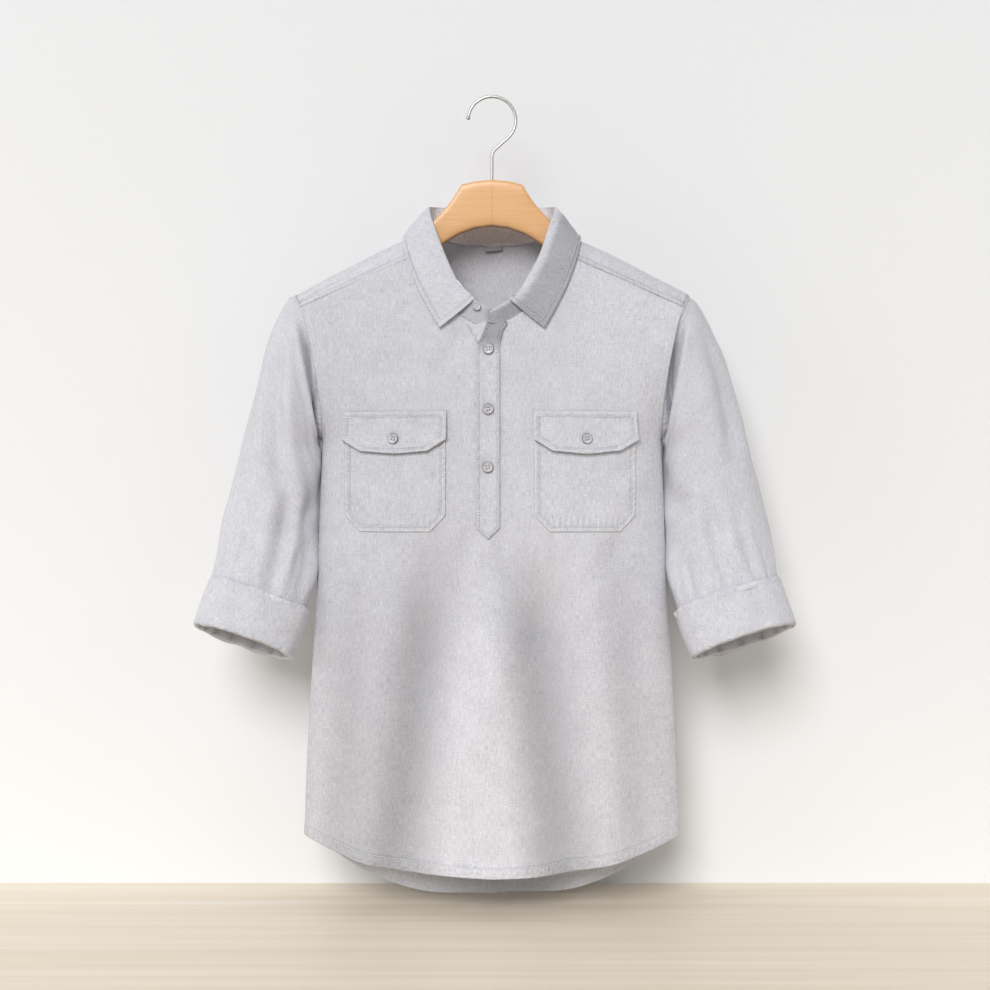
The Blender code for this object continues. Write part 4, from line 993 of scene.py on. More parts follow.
def make_stand():
    seam, fold = (whole_neck(half) for half in neck_points(np.linspace(0, len(NECK) - 1, 70))[:2])
    ends = STAND_UNDER_END, STAND_TOP_END
    seam = with_ends(seam, *((end.x, end.y, end.bottom_z) for end in ends))
    fold = with_ends(fold, *((end.x, end.y, end.top_z) for end in ends))
    up = np.array(STAND_ROWS)[::-1, None]
    points = seam[None] + (fold - seam)[None] * up[..., None]
    columns = np.arange(points.shape[1])
    # Painted shade over the stand's ends, full at the top placket's end and 0.4 at the other, fading out toward
    # the fold.
    shade = 1.0 * (columns > columns[-1] - STAND_SHADED + 1) + 0.4 * (columns < STAND_SHADED)
    pucker = bell(up, 0.15)
    shell("collar_stand", points, 1, 0.0014, pucker=pucker, painted_shade=shade * ease((0.97 - up) / 0.2))
    stitch(seam + (fold - seam) * 0.10 + unit(np.array([0, 0.02, -0.2]) - seam) * 0.0016)


LEAF_HEIGHT = 0.042
LEAF_ROLL_ROWS = 8
LEAF_MIDDLE = 80


def make_leaf():
    places = np.concatenate([np.linspace(0, 8.6, 76), LEAF_LAST_PLACES])
    fold, edge = (whole_neck(half) for half in neck_points(places)[1:])
    fall = unit(edge - fold)
    out = fold - np.array([0, -0.01, -0.19])
    out = unit(out - (out * fall).sum(axis=-1, keepdims=True) * fall)
    rise = np.array([0, 0, 0.0018])
    rows = []
    for a in np.radians(np.linspace(-60, 80, LEAF_ROLL_ROWS)):
        rows.append(fold + rise + out * 0.0014 * sin(a) - out * 0.0002 + fall * -0.0014 * (cos(a) - 1))
    shares = np.concatenate([np.linspace(0.05, 0.84, 26), LEAF_LAST_SHARES])
    for share, bulge in zip(shares, np.interp(shares, *np.transpose(COLLAR_BULGE))):
        rows.append(fold + rise * (1 - share) + (edge - fold) * share + out * (bulge + 0.0004))
    points = np.stack(rows)
    across, down = lengths(points, 1), lengths(points, 0)
    to_edge = np.minimum(down[-1:] - down, np.minimum(across, across[:, -1:] - across))
    facing = np.sign((grid_normals(points)[20, LEAF_MIDDLE] * out[LEAF_MIDDLE]).sum())
    wave = ripple(across * 1.5, down * 2) * 0.6 * ease(to_edge / 0.01)
    points = points + facing * grid_normals(points) * (topstitch(to_edge, STITCH_IN) - wave)[..., None]
    # Painted shade along the stitching and over the +X half of the leaf, clear of its fold.
    painted_shade = SEAM_SHADE * bell(to_edge - STITCH_IN, 0.0010)
    painted_shade = painted_shade + 0.85 * ease(points[..., 0] / 0.02) * ease((down - 0.006) / 0.010)
    thickness = 0.0004 + 0.0010 * ease(to_edge / 0.0012)
    shell("collar_leaf", points, facing, thickness, pucker=near_seam(to_edge, 0.006), painted_shade=painted_shade)
    row = np.abs(shares - (1 - STITCH_IN / LEAF_HEIGHT)).argmin() + LEAF_ROLL_ROWS
    at = np.abs(across[30] - STITCH_IN).argmin()
    lifted = points + facing * grid_normals(points) * 0.00022
    for run in (lifted[row, at:-at], lifted[10 : row + 1, at], lifted[10 : row + 1, -at - 1]):
        stitch(run)


def on_front(x, z, lift):
    """Points a small distance in front of the front's outer face."""
    step = 2e-4
    across = body(x + step, z, FRONT) - body(x - step, z, FRONT)
    up = body(x, z + step, FRONT) - body(x, z - step, FRONT)
    return body(x, z, FRONT) + unit(np.cross(across, up)) * np.asarray(lift)[..., None]


def patch(node, x, z, lift, distance, stitch_in=STITCH_IN, shade=0.0):
    """A patch of cloth on the front, given by grids of x, z and lift, and of distance in from its edge."""
    roll = 0.0006 * np.sqrt(np.clip(distance / 0.0012, 0, 1))
    points = on_front(x, z, lift + roll + topstitch(distance, stitch_in))
    # Painted shade along the stitching, the shade given, and the painted side shade.
    painted_shade = SEAM_SHADE * bell(distance - stitch_in, 0.0010) + shade + painted_side_shade(x)
    pucker, lie = near_seam(distance, 0.007), (x + 0.013, 0.007 - z)
    shell(node, points, -1, 0.0004 + roll, pucker=pucker, painted_shade=painted_shade, lie=lie)


def pocket_grid(centre, size, rows, cols):
    """Grids for a patch with its lower corners cut off, and the distance in from its edge."""
    inner = 1 - size.cut_width / size.half
    a = clustered(cols, 2 * size.half) * 2 - 1
    across, share = np.meshgrid(a, clustered(rows, size.top - size.bottom))
    past = (np.abs(across) - inner) / (1 - inner)
    corner = np.clip(past, 0, 1) * size.cut_height
    foot = size.bottom + corner - size.point * np.clip(1 - np.abs(across) / inner, 0, 1)
    x, z = centre + size.half * across, size.top + (foot - size.top) * share
    slope = np.hypot(1, size.cut_height / size.cut_width)
    cut_line = size.bottom + past * size.cut_height
    edges = [size.half * (1 - np.abs(across)), size.top - z, z - (size.bottom - size.point)]
    edges.append((z - cut_line) / slope)
    return x, z, np.maximum(np.minimum.reduce(edges), 0), across, share


def make_pocket(name, side):
    centre = FRONT_CENTRE + side * POCKET_CENTRE
    x, z, distance, across, _ = pocket_grid(centre, POCKET, 84, 80)
    wavy = (x + 0.0008 * np.sin(x * 900)) * 2 * pi / GATHER_PITCH
    gather = 0.00060 * np.sin(wavy) * bell(z - (POCKET.bottom + 0.011), 0.0055)
    wavy = (z + 0.5 * distance) * 2 * pi / GATHER_PITCH
    side_gather = 0.00034 * np.sin(wavy) * bell(distance - 0.003, 0.003)
    patch(name, x, z, 0.0006 + np.where(np.abs(across) < 0.8, gather, 0) + side_gather, distance)
    for depth in (0.0016, STITCH_IN):
        stitch(outline(centre, POCKET, depth, lambda z: 0.0014))


def outline(centre, size, depth, lift):
    """The stitching line inside a patch's edge."""
    bevel = depth * 0.42
    side, low = size.half - depth, size.bottom + size.cut_height + bevel
    right = [
        (0, size.bottom - size.point + depth),
        (size.half - size.cut_width - bevel, size.bottom + depth),
        (side, low),
        (side, size.top),
    ]
    x, z = np.array([(-x, z) for x, z in right[:0:-1]] + right).T
    length = np.concatenate([[0], np.cumsum(np.hypot(np.diff(x), np.diff(z)))])
    at = np.linspace(0, length[-1], 200)
    x, z = np.interp(at, length, x + centre), np.interp(at, length, z)
    return on_front(x, z, lift(z))


FLAP_STITCH_LIFT = 0.0008


def flap_lift(z):
    share = np.clip((FLAP.top - z) / (FLAP.top - FLAP.bottom), 0, 1)
    return 0.0012 + 0.0012 * ease(share / 0.15) + 0.0034 * share**1.6


def make_flap(name, side):
    centre = FRONT_CENTRE + side * POCKET_CENTRE
    x, z, distance, across, share = pocket_grid(centre, FLAP, 40, 80)
    lift = flap_lift(z) + 0.0010 * share * np.abs(across) ** 3 + 0.0003 * ripple(x * 2, z * 3) / 0.001
    lift = lift - 0.0012 * bell(np.hypot(x - centre, z - FLAP_BUTTON_Z), 0.010)
    patch(name, x, z, lift, distance)
    stitch(outline(centre, FLAP, STITCH_IN, lambda z: flap_lift(z) + FLAP_STITCH_LIFT))
    across = np.linspace(-1, 1, 80) * (FLAP.half - 0.001) + centre
    for depth in (0.0018, 0.0062):
        z = np.full(80, FLAP.top - depth)
        stitch(on_front(across, z, flap_lift(z) + FLAP_STITCH_LIFT))


UNDER_STAND = 0.0030
PLACKET_LIFT = 0.0020
PLACKET_STITCH_LIFT = 0.0030
PLACKET_BUTTON_LIFT = 0.0029
FLAP_BUTTON_LIFT = 0.0045


def dive(table, z):
    """Takes a placket's top down under the foot of the collar's stand."""
    return 0.0016 * ease((z - table[0].z + 0.0010) / 0.0020)


def strip_edge(table, name, z):
    return np.interp(-z, -column(table, "z"), column(table, name))


def strip_grid(table, cols, tip=0.0):
    """Grids for a placket, with the distance in from its long edges and its pointed foot."""
    foot = table[-1].z
    z = np.linspace(table[0].z + UNDER_STAND, foot, 174)
    across, z = np.meshgrid(clustered(cols, 0.026, STRIP_STEPS), z)
    left, right = strip_edge(table, "left", z), strip_edge(table, "right", z)
    x = left + (right - left) * across
    point = tip * (1 - np.abs(2 * across - 1))
    z = z - point * ease((foot + 0.012 - z) / 0.012)
    distance = np.minimum(across, 1 - across) * (right - left)
    if tip:
        distance = np.minimum(distance, np.maximum(z - foot + point, 0) * 0.75)
    return x, z, distance


def make_plackets():
    x, z, distance = strip_grid(UNDER_PLACKET, 18)
    patch("placket_under", x, z, 0.0006 - dive(UNDER_PLACKET, z), distance, 0.0024)
    x, z, distance = strip_grid(TOP_PLACKET, 22, tip=TOP_PLACKET[-1].z - PLACKET_TIP_Z)
    pull = sum(bell(np.hypot(x - PLACKET_CENTRE, z - h), 0.009) for h in PLACKET_BUTTON_HEIGHTS)
    lift = PLACKET_LIFT + 0.0004 * np.sin(z * 2 * pi / 0.067 + 0.6) - 0.0004 * pull - dive(TOP_PLACKET, z)
    # Painted shade on the top of the placket, full above z -0.282.
    patch("placket_top", x, z, lift, distance, PLACKET_STITCH_IN, ease((z + 0.300) / 0.018))
    heights = np.linspace(TOP_PLACKET[0].z - 0.001, TOP_PLACKET[-1].z, 150)
    for edge, inward in (("left", PLACKET_STITCH_IN), ("right", -PLACKET_STITCH_IN)):
        stitch(on_front(strip_edge(TOP_PLACKET, edge, heights) + inward, heights, PLACKET_STITCH_LIFT))
    x, z = np.transpose(PLACKET_BOX)
    stitch(on_front(x, z, PLACKET_STITCH_LIFT))


# The stitched box at the foot of the top placket, as x and z
PLACKET_BOX = (
    (-0.0148, -0.4760), (0.0066, -0.4760), (0.0066, -0.4948),
    (-0.0041, -0.5045), (-0.0148, -0.4948), (-0.0148, -0.4760),
)


def lathe(name, profile, count):
    """A turned shape about +Z from pairs of radius and height."""
    angle = np.arange(count) * 2 * pi / count
    return tube(name, np.array([[(r * cos(a), r * sin(a), h) for a in angle] for r, h in profile]))


# A button's section, from the middle of its face over its rim to the middle of its back
BUTTON_SECTION = (
    (0.0001, 0.50), (0.30, 0.50), (0.55, 0.52), (0.64, 0.56),
    (0.70, 0.70), (0.75, 0.90), (0.80, 0.98), (0.86, 1.0),
    (0.92, 0.96), (0.97, 0.82), (1.0, 0.60), (0.99, 0.38),
    (0.94, 0.16), (0.86, 0.02), (0.70, 0.0), (0.0001, 0.0),
)


def linked(name, mesh):
    made = bpy.data.objects.new(name, mesh)
    bpy.context.scene.collection.objects.link(made)
    return made


def evaluated(holder, *others):
    """The mesh that an object's modifiers make, with the object and others used by it taken away."""
    bpy.context.view_layer.update()
    made = bpy.data.meshes.new_from_object(holder.evaluated_get(bpy.context.evaluated_depsgraph_get()))
    for used in (holder, *others):
        bpy.data.objects.remove(used, do_unlink=True)
    return made


# Sizes on a button, as shares of its radius
HOLE_OUT = 0.31
HOLE_RADIUS = 0.15
THREAD_OUT = 0.19
THREAD_RADIUS = 0.055


def button_mesh(radius):
    """A four-hole button with a raised rim, its middle cut through by four holes."""
    thick = BUTTON_THICK * radius / BUTTON_RADIUS
    hole, out = HOLE_RADIUS * radius, HOLE_OUT * radius
    profile = [(r * radius, h * thick) for r, h in BUTTON_SECTION[::-1]]
    holder = linked("button_holder", lathe("button", profile, 48))
    section = [(0.0001, -thick), (hole, -thick), (hole, 2 * thick), (0.0001, 2 * thick)]
    cutters = []
    for i in range(4):
        cutters.append(linked(f"hole_{i}", lathe("hole", section, 16)))
        a = pi / 4 + i * pi / 2
        cutters[-1].location = (out * cos(a), out * sin(a), 0)
        cut = holder.modifiers.new(f"hole_{i}", "BOOLEAN")
        cut.object, cut.solver = cutters[-1], "EXACT"
    return evaluated(holder, *cutters)


def thread_mesh(radius):
    """Two stitches of thread through the button's holes, side by side."""
    thick = BUTTON_THICK * radius / BUTTON_RADIUS
    out, thread = THREAD_OUT * radius, THREAD_RADIUS * radius
    verts, faces = [], []
    for sign in (-1, 1):
        base = len(verts)
        for a in np.linspace(0, pi, 9):
            y, z = out * cos(a), thick * (0.42 + 0.28 * sin(a))
            for b in np.arange(8) * pi / 4:
                verts.append((sign * out + thread * cos(b), y, z + thread * sin(b)))
        for i in range(8):
            for k in range(8):
                a, b = base + i * 8 + k, base + i * 8 + (k + 1) % 8
                faces.append((a, b, b + 8, a + 8))
    faces = np.array(faces)
    return new_mesh("thread", np.array(verts), faces, np.zeros((faces.size, 2)))


def mark_painted_shade(mesh, local):
    """Marks a button's outer rim, darker of its own and with painted shade for its contact shadow, and the walls
    of its holes, which get painted shade.
    """
    out = np.hypot(local[:, 0], local[:, 1])
    rim_and_hole_shade = np.clip((out - 0.84) / 0.10, 0, 1)
    rim_and_hole_shade = np.maximum(rim_and_hole_shade, (out < 0.5) & (local[:, 2] < 0.05))
    attribute = mesh.attributes.new("rim_and_hole_shade", "FLOAT", "POINT")
    attribute.data.foreach_set("value", rim_and_hole_shade.astype(np.float32))


def place_button(node, point, facing, radius, turn):
    rotation = np.array(Vector(facing).to_track_quat("Z", "Y").to_matrix())
    spin = np.eye(3)
    spin[:2, :2] = [[cos(turn), -sin(turn)], [sin(turn), cos(turn)]]
    parts = ("button", button_mesh(radius), "button"), ("thread", thread_mesh(radius), "cloth")
    for kind, mesh, slot in parts:
        co = np.zeros(len(mesh.vertices) * 3, np.float32)
        mesh.vertices.foreach_get("co", co)
        co = co.reshape(-1, 3)
        if kind == "button":
            mark_painted_shade(mesh, co / radius)
        co = co @ spin.T @ rotation.T + np.array(point)
        mesh.vertices.foreach_set("co", co.astype(np.float32).ravel())
        mesh.materials.clear()
        mesh.update()
        mesh.shade_smooth()
        mesh.set_sharp_from_angle(angle=radians(45))
        made = show(f"{node}_{kind}", mesh, kind)
        if kind == "button":
            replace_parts(made, node)


def make_buttons():
    places = []
    for number, (z, aside) in enumerate(zip(PLACKET_BUTTON_HEIGHTS, (0.0004, 0, -0.0006)), start=1):
        places.append((f"button_{number}", PLACKET_CENTRE + aside, z, PLACKET_BUTTON_LIFT, 0.1 * number))
    for name, side in (("right", -1), ("left", 1)):
        x = FRONT_CENTRE + side * POCKET_CENTRE
        places.append((f"flap_button_{name}", x, FLAP_BUTTON_Z, FLAP_BUTTON_LIFT, 0.2 * side))
    for node, x, z, lift, turn in places:
        x, z = np.array(float(x)), np.array(float(z))
        point = on_front(x, z, lift)
        place_button(node, point, on_front(x, z, lift + 1.0) - point, BUTTON_RADIUS, turn)
    x, y, z = STAND_BUTTON
    place_button("button_stand", (x, y - 0.0010, z), (0.05, -1, 0.1), STAND_BUTTON_RADIUS, 0.4)


def make_tab():
    x, z = TAB_CENTRE
    across, down = np.meshgrid(np.linspace(-0.5, 0.5, 24), np.linspace(-0.5, 0.5, 10))
    tilt = radians(TAB_TILT)
    px = x + TAB_SIZE[0] * across * cos(tilt) - TAB_SIZE[2] * down * sin(tilt)
    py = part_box("neck_tab")[0].y + 0.0002 + 0.0003 * np.sin(across * 5)
    pz = z + TAB_SIZE[0] * across * sin(tilt) - TAB_SIZE[2] * down
    shell("neck_tab", np.stack([px, py, pz], axis=-1), -1, 0.0006, material="tab")


HANGER_SECTION = 48
ARM_END_ROUNDING = ((0.9, 0.0006), (0.6, 0.0011), (0.02, 0.0013))


def wood_section(x, top, bottom, half_thick, squareness):
    angle = (np.arange(HANGER_SECTION) + 0.5) * 2 * pi / HANGER_SECTION
    power = 2 / squareness
    y = half_thick * np.sign(np.cos(angle)) * np.abs(np.cos(angle)) ** power
    z = (top + bottom) / 2 + (top - bottom) / 2 * np.sign(np.sin(angle)) * np.abs(np.sin(angle)) ** power
    return np.stack([np.full(len(angle), x), y, z], axis=1)


def make_wood():
    """The hanger's shaped wood, read closely between its sections."""
    sections = [(*row, HEAD_POWER) for row in HANGER_HEAD]
    for row in HANGER_ARM:
        top = float(shoulder_line(row.x)) - CLOTH * np.hypot(1, SHOULDER_SLOPE) - SEAT_GAP
        sections.append((row.x, top, top - row.height, row.half_thick, ARM_SECTION_POWER))
    xs, *columns = np.array([*sections, (*HANGER_END, END_POWER)], float).T
    corner = xs[2] + np.array([0.0006, -0.0006])
    at = np.unique(np.concatenate([np.linspace(0, xs[-1], 120), xs[:4], corner]))
    half = [wood_section(x, *(np.interp(x, xs, values) for values in columns)) for x in at]
    last, cap = half[-1], half[-1].mean(axis=0)
    for share, out in ARM_END_ROUNDING:
        half.append(cap + (last - cap) * share + np.array([out, 0, 0]))
    mesh = tube("wood", np.stack([mirrored(ring, -1) for ring in half[:0:-1]] + half), flipped=True)
    made = show("hanger_wood_shaped", mesh, "wood")
    mesh.set_sharp_from_angle(angle=radians(50))
    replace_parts(made, "hanger_wood")


HOOK_BALL = 1.32


def hook_path():
    """The wire's x and z from inside the wood, up its stem, round the bend and over the hook."""
    top = HANGER_HEAD[0].top
    route = [np.array([0, z]) for z in (top - 0.002, STEM_TOP_Z - 0.012, STEM_TOP_Z)]
    start, corner, end = np.array([0.0, STEM_TOP_Z]), np.array([0.0, STEM_BEND_Z]), np.array(STEM_BEND_TOP)
    for share in np.linspace(0, 1, 13)[1:]:
        route.append((1 - share) ** 2 * start + 2 * share * (1 - share) * corner + share**2 * end)
    for a in np.radians(np.linspace(HOOK_LEAVES_AT, HOOK_TIP_AT, 90)):
        route.append(np.array([HOOK_RADIUS * cos(a), WIRE_RADIUS - HOOK_RADIUS + HOOK_RADIUS * sin(a)]))
    return np.array(route)


def make_hook():
    route = hook_path()
    run = unit(np.gradient(route, axis=0))
    flat = np.zeros(len(route))
    centre = np.stack([route[:, 0], flat, route[:, 1]], axis=1)
    across = np.stack([run[:, 1], flat, -run[:, 0]], axis=1)
    angle = np.arange(WIRE_SIDES)[:, None] * 2 * pi / WIRE_SIDES

    def ring(side):
        return side * np.cos(angle) + np.array([0, 1, 0]) * np.sin(angle)

    rings = [c + WIRE_RADIUS * ring(side) for c, side in zip(centre, across)]
    forward = np.array([run[-1, 0], 0, run[-1, 1]])
    ball = WIRE_RADIUS * HOOK_BALL
    for a in np.linspace(0.25, 1, 8) * pi * 0.97:
        rings.append(centre[-1] + forward * (0.001 - ball * cos(a)) + ball * sin(a) * ring(across[-1]))
    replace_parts(show("hanger_hook_wire", tube("hook", np.stack(rings)), "steel"), "hanger_hook")


def feed(tree, socket, value):
    """Links another node's output to a socket, or sets the socket to a value."""
    if isinstance(value, bpy.types.NodeSocket):
        tree.links.new(value, socket)
    else:
        socket.default_value = value


def connect(tree, node, inputs):
    """Feeds a node's inputs, whose names may have underscores for spaces."""
    for name, value in inputs.items():
        feed(tree, node.inputs[name.replace("_", " ")], value)


def add(tree, kind, output, settings=(), **inputs):
    """A new node's output, with the node's settings and inputs given."""
    node = tree.nodes.new(kind)
    for name, value in dict(settings).items():
        setattr(node, name, value)
    connect(tree, node, inputs)
    return node.outputs[output]


def stitch_tree():
    """Sets one stitch on every step along the lines that it is given."""
    tree = bpy.data.node_groups.new("stitching", "GeometryNodeTree")
    for way in ("INPUT", "OUTPUT"):
        tree.interface.new_socket("Geometry", in_out=way, socket_type="NodeSocketGeometry")
    given, result = tree.nodes.new("NodeGroupInput"), tree.nodes.new("NodeGroupOutput")
    curve = add(tree, "GeometryNodeMeshToCurve", "Curve", Mesh=given.outputs["Geometry"])
    steps = add(tree, "GeometryNodeResampleCurve", "Curve", {"mode": "LENGTH"}, Curve=curve, Length=STITCH)
    ball = add(tree, "GeometryNodeMeshIcoSphere", "Mesh", Subdivisions=2, Radius=1.0)
    along = add(tree, "GeometryNodeInputTangent", "Tangent")
    turn = add(tree, "FunctionNodeAlignRotationToVector", "Rotation", {"axis": "X"}, Vector=along)
    spread = add(tree, "FunctionNodeRandomValue", 1, Min=0.82, Max=1.12, Seed=3)
    size = (0.40 * STITCH, STITCH_RADIUS, STITCH_RADIUS)
    scale = add(tree, "ShaderNodeVectorMath", "Vector", {"operation": "SCALE"}, Vector=size, Scale=spread)
    inputs = {"Points": steps, "Instance": ball, "Rotation": turn, "Scale": scale}
    placed = add(tree, "GeometryNodeInstanceOnPoints", "Instances", **inputs)
    real = add(tree, "GeometryNodeRealizeInstances", "Geometry", Geometry=placed)
    smooth = add(tree, "GeometryNodeSetShadeSmooth", "Geometry", Geometry=real)
    tree.links.new(smooth, result.inputs["Geometry"])
    return tree


def make_stitching():
    edges, base = [], 0
    for line in STITCHES:
        edges += [(base + i, base + i + 1) for i in range(len(line) - 1)]
        base += len(line)
    lines = bpy.data.meshes.new("stitch_lines")
    lines.from_pydata(np.concatenate(STITCHES).tolist(), edges, [])
    holder = linked("stitch_lines", lines)
    holder.modifiers.new("Stitching", "NODES").node_group = stitch_tree()
    mesh = evaluated(holder)
    mesh.materials.clear()
    show("stitching", mesh, "thread")


def new_material(name, colour, roughness, metallic=0.0, **inputs):
    made = bpy.data.materials.new(name)
    made.use_nodes = True
    shader = made.node_tree.nodes["Principled BSDF"]
    inputs.update(Base_Color=(*colour, 1), Roughness=roughness, Metallic=metallic)
    connect(made.node_tree, shader, inputs)
    return made, made.node_tree, shader


def noise(tree, vector, scale, detail=2.0, roughness=0.5):
    inputs = {"Vector": vector, "Scale": scale, "Detail": detail, "Roughness": roughness}
    return add(tree, "ShaderNodeTexNoise", "Fac", **inputs)


def maths(tree, operation, *values):
    node = tree.nodes.new("ShaderNodeMath")
    node.operation = operation
    for socket, value in zip(node.inputs, values):
        feed(tree, socket, value)
    return node.outputs["Value"]


def stretched(tree, vector, *scale):
    return add(tree, "ShaderNodeMapping", "Vector", Vector=vector, Scale=scale)


def mask(tree, name):
    return add(tree, "ShaderNodeAttribute", "Fac", {"attribute_name": name})


def mixed(tree, factor, first, second, blend="MIX"):
    settings = {"data_type": "RGBA", "blend_type": blend}
    return add(tree, "ShaderNodeMix", "Result", settings, Factor=factor, A=first, B=second)


def bumped(tree, height, distance, strength, **inputs):
    inputs.update(Height=height, Distance=distance, Strength=strength)
    return add(tree, "ShaderNodeBump", "Normal", **inputs)


def object_place(tree):
    return add(tree, "ShaderNodeTexCoord", "Object")


def weave_group():
    """Threads of uneven thickness and shade, across and along the cloth."""
    tree = bpy.data.node_groups.new("weave", "ShaderNodeTree")
    sockets = ("Vector", "INPUT", "Vector"), ("Shade", "OUTPUT", "Float"), ("Height", "OUTPUT", "Float")
    for name, way, kind in sockets:
        tree.interface.new_socket(name, in_out=way, socket_type=f"NodeSocket{kind}")
    place = tree.nodes.new("NodeGroupInput").outputs["Vector"]

    def layer(weight, across, along, detail, roughness=0.5):
        there = stretched(tree, place, across, along, 1)
        return maths(tree, "MULTIPLY", noise(tree, there, 1.0, detail, roughness), weight)

    threads = maths(tree, "ADD", layer(0.42, 1050, 130, 3.0, 0.55), layer(0.30, 140, 1050, 3.0, 0.55))
    streaks = maths(tree, "ADD", layer(0.10, 420, 22, 2.0), layer(0.07, 22, 420, 2.0))
    cloud = maths(tree, "MULTIPLY", noise(tree, place, 38.0, 3.0), 0.11)
    shade = maths(tree, "ADD", maths(tree, "ADD", threads, streaks), cloud)
    connect(tree, tree.nodes.new("NodeGroupOutput"), {"Shade": shade, "Height": threads})
    return tree


def ramp(tree, value, stops):
    node = tree.nodes.new("ShaderNodeValToRGB")
    elements = node.color_ramp.elements
    while len(elements) < len(stops):
        elements.new(0.5)
    for element, (position, colour) in zip(elements, stops):
        element.position = position
        element.color = (*colour, 1)
    tree.links.new(value, node.inputs["Fac"])
    return node.outputs["Color"]


# Strength of the painted shade where its mask is 1
HOLLOW_SHADE = 0.42
CLOTH_MIDDLE = (0.602, 0.602, 0.642)
CLOTH_COLOURS = (
    (0.36, (0.455, 0.452, 0.492)),
    (0.50, CLOTH_MIDDLE),
    (0.64, (0.742, 0.745, 0.785)),
)
WOOD_COLOURS = (
    (0.30, (0.70, 0.370, 0.145)),
    (0.50, (0.770, 0.425, 0.182)),
    (0.70, (0.815, 0.465, 0.212)),
)


def cloth_material():
    made, tree, shader = new_material("cloth", CLOTH_MIDDLE, 0.86, Sheen_Weight=0.12, Sheen_Roughness=0.5,
                                      Specular_IOR_Level=0.25)
    place = add(tree, "ShaderNodeUVMap", "UV", {"uv_map": "Cloth"})
    weave = tree.nodes.new("ShaderNodeGroup")
    weave.node_tree = weave_group()
    connect(tree, weave, {"Vector": place})
    colour = ramp(tree, weave.outputs["Shade"], CLOTH_COLOURS)
    # Painted shade, and painted light below 0, from the mask scale the weave's colour.
    shade = maths(tree, "SUBTRACT", 1.0, maths(tree, "MULTIPLY", mask(tree, "painted_shade"), HOLLOW_SHADE))
    drawn = maths(tree, "MULTIPLY", noise(tree, place, 170.0, 2.0), mask(tree, "pucker"))
    puckered = bumped(tree, drawn, 0.0030, 0.90)
    normal = bumped(tree, weave.outputs["Height"], 0.0004, 0.35, Normal=puckered)
    connect(tree, shader, {"Base Color": mixed(tree, 1.0, colour, shade, "MULTIPLY"), "Normal": normal})
    return made


def wood_material():
    made, tree, shader = new_material("wood", (0.75, 0.44, 0.20), 0.34, Coat_Weight=0.25,
                                      Coat_Roughness=0.25)
    place = object_place(tree)
    grain = noise(tree, stretched(tree, place, 14, 90, 1), 1.0, 6.0, 0.6)
    lines = noise(tree, stretched(tree, place, 16, 60, 260), 1.0, 5.0, 0.6)
    mix = maths(tree, "ADD", maths(tree, "MULTIPLY", grain, 0.35), maths(tree, "MULTIPLY", lines, 0.65))
    colour = ramp(tree, mix, WOOD_COLOURS)
    from_middle = maths(tree, "ABSOLUTE", add(tree, "ShaderNodeSeparateXYZ", "X", Vector=place))
    joint = maths(tree, "MULTIPLY", maths(tree, "LESS_THAN", from_middle, 0.0004), 0.35)
    colour = mixed(tree, joint, colour, (0.42, 0.20, 0.07, 1))
    connect(tree, shader, {"Base Color": colour, "Normal": bumped(tree, lines, 0.0003, 0.25)})
    return made


def steel_material():
    made, tree, shader = new_material("steel", (0.58, 0.57, 0.555), 0.28, 1.0)
    marks = noise(tree, object_place(tree), 420.0, 3.0)
    rough = add(tree, "ShaderNodeMapRange", "Result", Value=marks, To_Min=0.20, To_Max=0.42)
    connect(tree, shader, {"Roughness": rough})
    return made


def button_material():
    made, tree, shader = new_material("button", (0.50, 0.49, 0.52), 0.32)
    swirl = noise(tree, object_place(tree), 190.0, 4.0, 0.6)
    colour = ramp(tree, swirl, ((0.35, (0.46, 0.45, 0.48)), (0.62, (0.66, 0.65, 0.68))))
    # The marked rim and hole walls are painted near black: painted shade, with a darker rim of the button's own.
    connect(tree, shader, {"Base Color": mixed(tree, mask(tree, "rim_and_hole_shade"), colour, (0.15, 0.147, 0.16, 1))})
    return made


def make_materials():
    MATERIALS.update(cloth=cloth_material(), wood=wood_material())
    MATERIALS.update(steel=steel_material(), button=button_material())
    MATERIALS["tab"] = new_material("tab", (0.42, 0.41, 0.43), 0.9)[0]
    MATERIALS["thread"] = new_material("thread", (0.78, 0.775, 0.80), 0.85)[0]


STAGE_HALF = 3.0
WALL_Y = 0.108
WALL_TOP_Z = 2
FLOOR_Z = -0.930
SHELF_EDGE_Y = -0.9
SHELF_COLOURS = (
    (0.30, (0.80, 0.690, 0.535)),
    (0.55, (0.865, 0.775, 0.640)),
    (0.75, (0.90, 0.83, 0.715)),
)

SUN_ENERGY = 2.15
SUN_SPREAD = 28
SUN_TRAVELS = (0.20, 0.87, -0.47)
AIR_COLOUR = (0.990, 0.993, 1.0, 1)
AIR_STRENGTH = 0.27
Lamp = namedtuple("Lamp", "name place target size energy")
LAMPS = (
    Lamp("window", (-2.2, -0.9, 0.2), (0.2, 0.1, -0.5), (1.2, 1.6), 9.0),
    Lamp("room_side", (1.9, -1.6, 0.2), (0.1, 0, -0.5), (1.6, 1.6), 5.0),
)

CAMERA_PLACE = (0.0035, -2.0, -0.458)
CAMERA_LENS = 63.0


def plane(name, corner_points, material):
    mesh = bpy.data.meshes.new(name)
    mesh.from_pydata(corner_points, [], [(0, 1, 2, 3)])
    mesh.materials.append(material)
    linked(name, mesh)


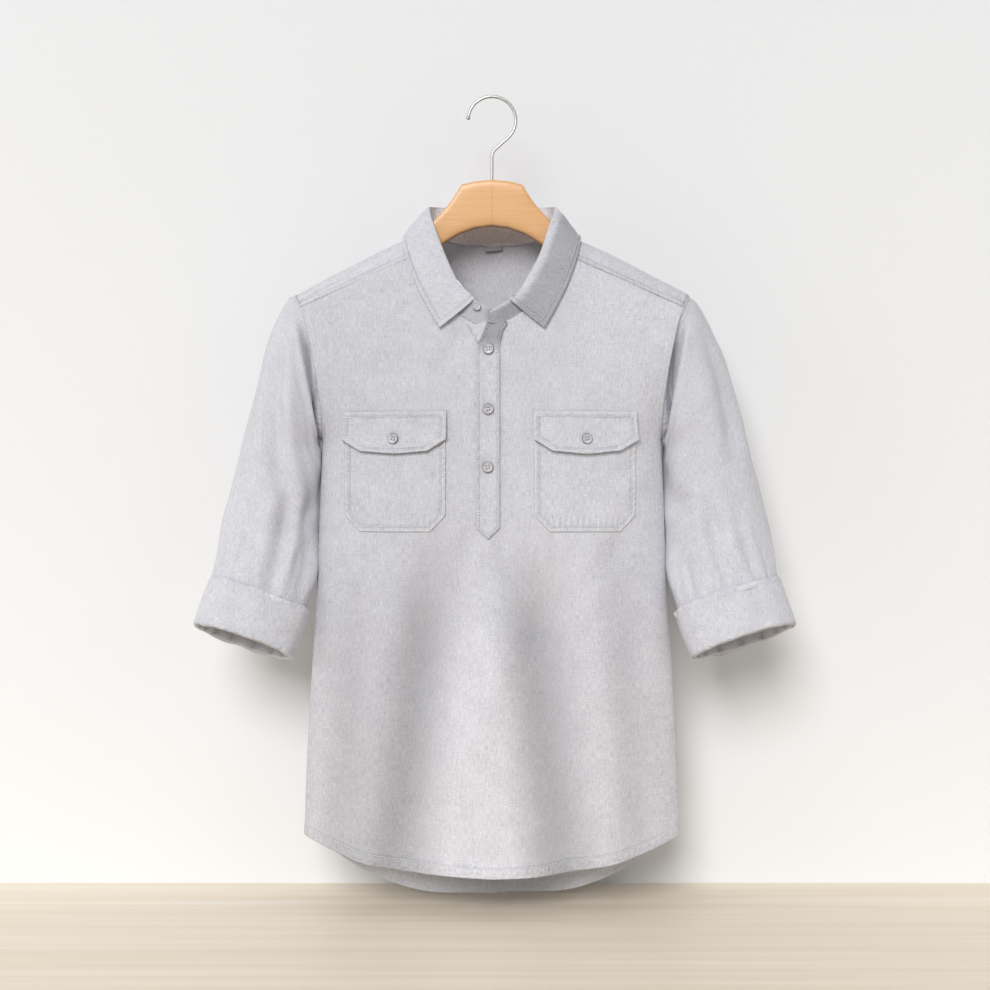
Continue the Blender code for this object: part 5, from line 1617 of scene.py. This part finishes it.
def wall_material():
    """Plain paint, clear from behind."""
    made, tree, shader = new_material("wall", (0.822, 0.824, 0.830), 0.9)
    shown = tree.nodes.new("ShaderNodeMixShader")
    behind = add(tree, "ShaderNodeNewGeometry", "Backfacing")
    clear = add(tree, "ShaderNodeBsdfTransparent", "BSDF")
    for socket, value in zip(shown.inputs, (behind, shader.outputs["BSDF"], clear)):
        feed(tree, socket, value)
    tree.links.new(shown.outputs["Shader"], tree.nodes["Material Output"].inputs["Surface"])
    return made


def shelf_material():
    made, tree, shader = new_material("shelf", (0.80, 0.70, 0.56), 0.45)
    grain = noise(tree, stretched(tree, object_place(tree), 1.2, 42, 1), 1.0, 5.0, 0.6)
    connect(tree, shader, {"Base Color": ramp(tree, grain, SHELF_COLOURS)})
    return made


def make_stage():
    low_left, low_right = (-STAGE_HALF, WALL_Y, FLOOR_Z), (STAGE_HALF, WALL_Y, FLOOR_Z)
    high = [(STAGE_HALF, WALL_Y, WALL_TOP_Z), (-STAGE_HALF, WALL_Y, WALL_TOP_Z)]
    plane("wall", [low_left, low_right, *high], wall_material())
    near = [(-STAGE_HALF, SHELF_EDGE_Y, FLOOR_Z), (STAGE_HALF, SHELF_EDGE_Y, FLOOR_Z)]
    plane("shelf", [*near, low_right, low_left], shelf_material())


def area_light(name, place, target, size, energy):
    data = bpy.data.lights.new(name, "AREA")
    data.shape, data.energy = "RECTANGLE", energy
    data.size, data.size_y = size
    made = linked(name, data)
    made.location = place
    made.rotation_euler = (Vector(target) - Vector(place)).to_track_quat("-Z", "Y").to_euler()


def make_lights():
    data = bpy.data.lights.new("daylight", "SUN")
    data.energy, data.angle = SUN_ENERGY, radians(SUN_SPREAD)
    linked("daylight", data).rotation_euler = Vector(SUN_TRAVELS).to_track_quat("-Z", "Y").to_euler()
    for lamp in LAMPS:
        area_light(*lamp)
    world = bpy.data.worlds.new("room_air")
    world.use_nodes = True
    tree = world.node_tree
    connect(tree, tree.nodes["Background"], {"Color": AIR_COLOUR, "Strength": AIR_STRENGTH})
    bpy.context.scene.world = world


def make_camera():
    data = bpy.data.cameras.new("camera")
    data.lens, data.sensor_width = CAMERA_LENS, 36.0
    made = linked("camera", data)
    made.location = CAMERA_PLACE
    made.rotation_euler = (radians(90), 0, 0)
    bpy.context.scene.camera = made
    bpy.context.scene.view_settings.view_transform = "Standard"


# What a maker would cut for each piece, its width and its length laid flat, and what it lies on.
Cut = namedtuple("Cut", "piece width length area rests_on")


def main():
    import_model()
    make_materials()
    for make in (make_front, make_back, make_yoke, make_stand, make_leaf, make_plackets):
        make()
    for name, side in (("right", -1), ("left", 1)):
        make_sleeve(f"sleeve_{name}", side)
        make_cuff(f"cuff_{name}", side)
        make_pocket(f"pocket_{name}", side)
        make_flap(f"flap_{name}", side)
    make_tab()
    make_wood()
    make_hook()
    make_buttons()
    make_stitching()
    make_stage()
    make_lights()
    make_camera()


main()
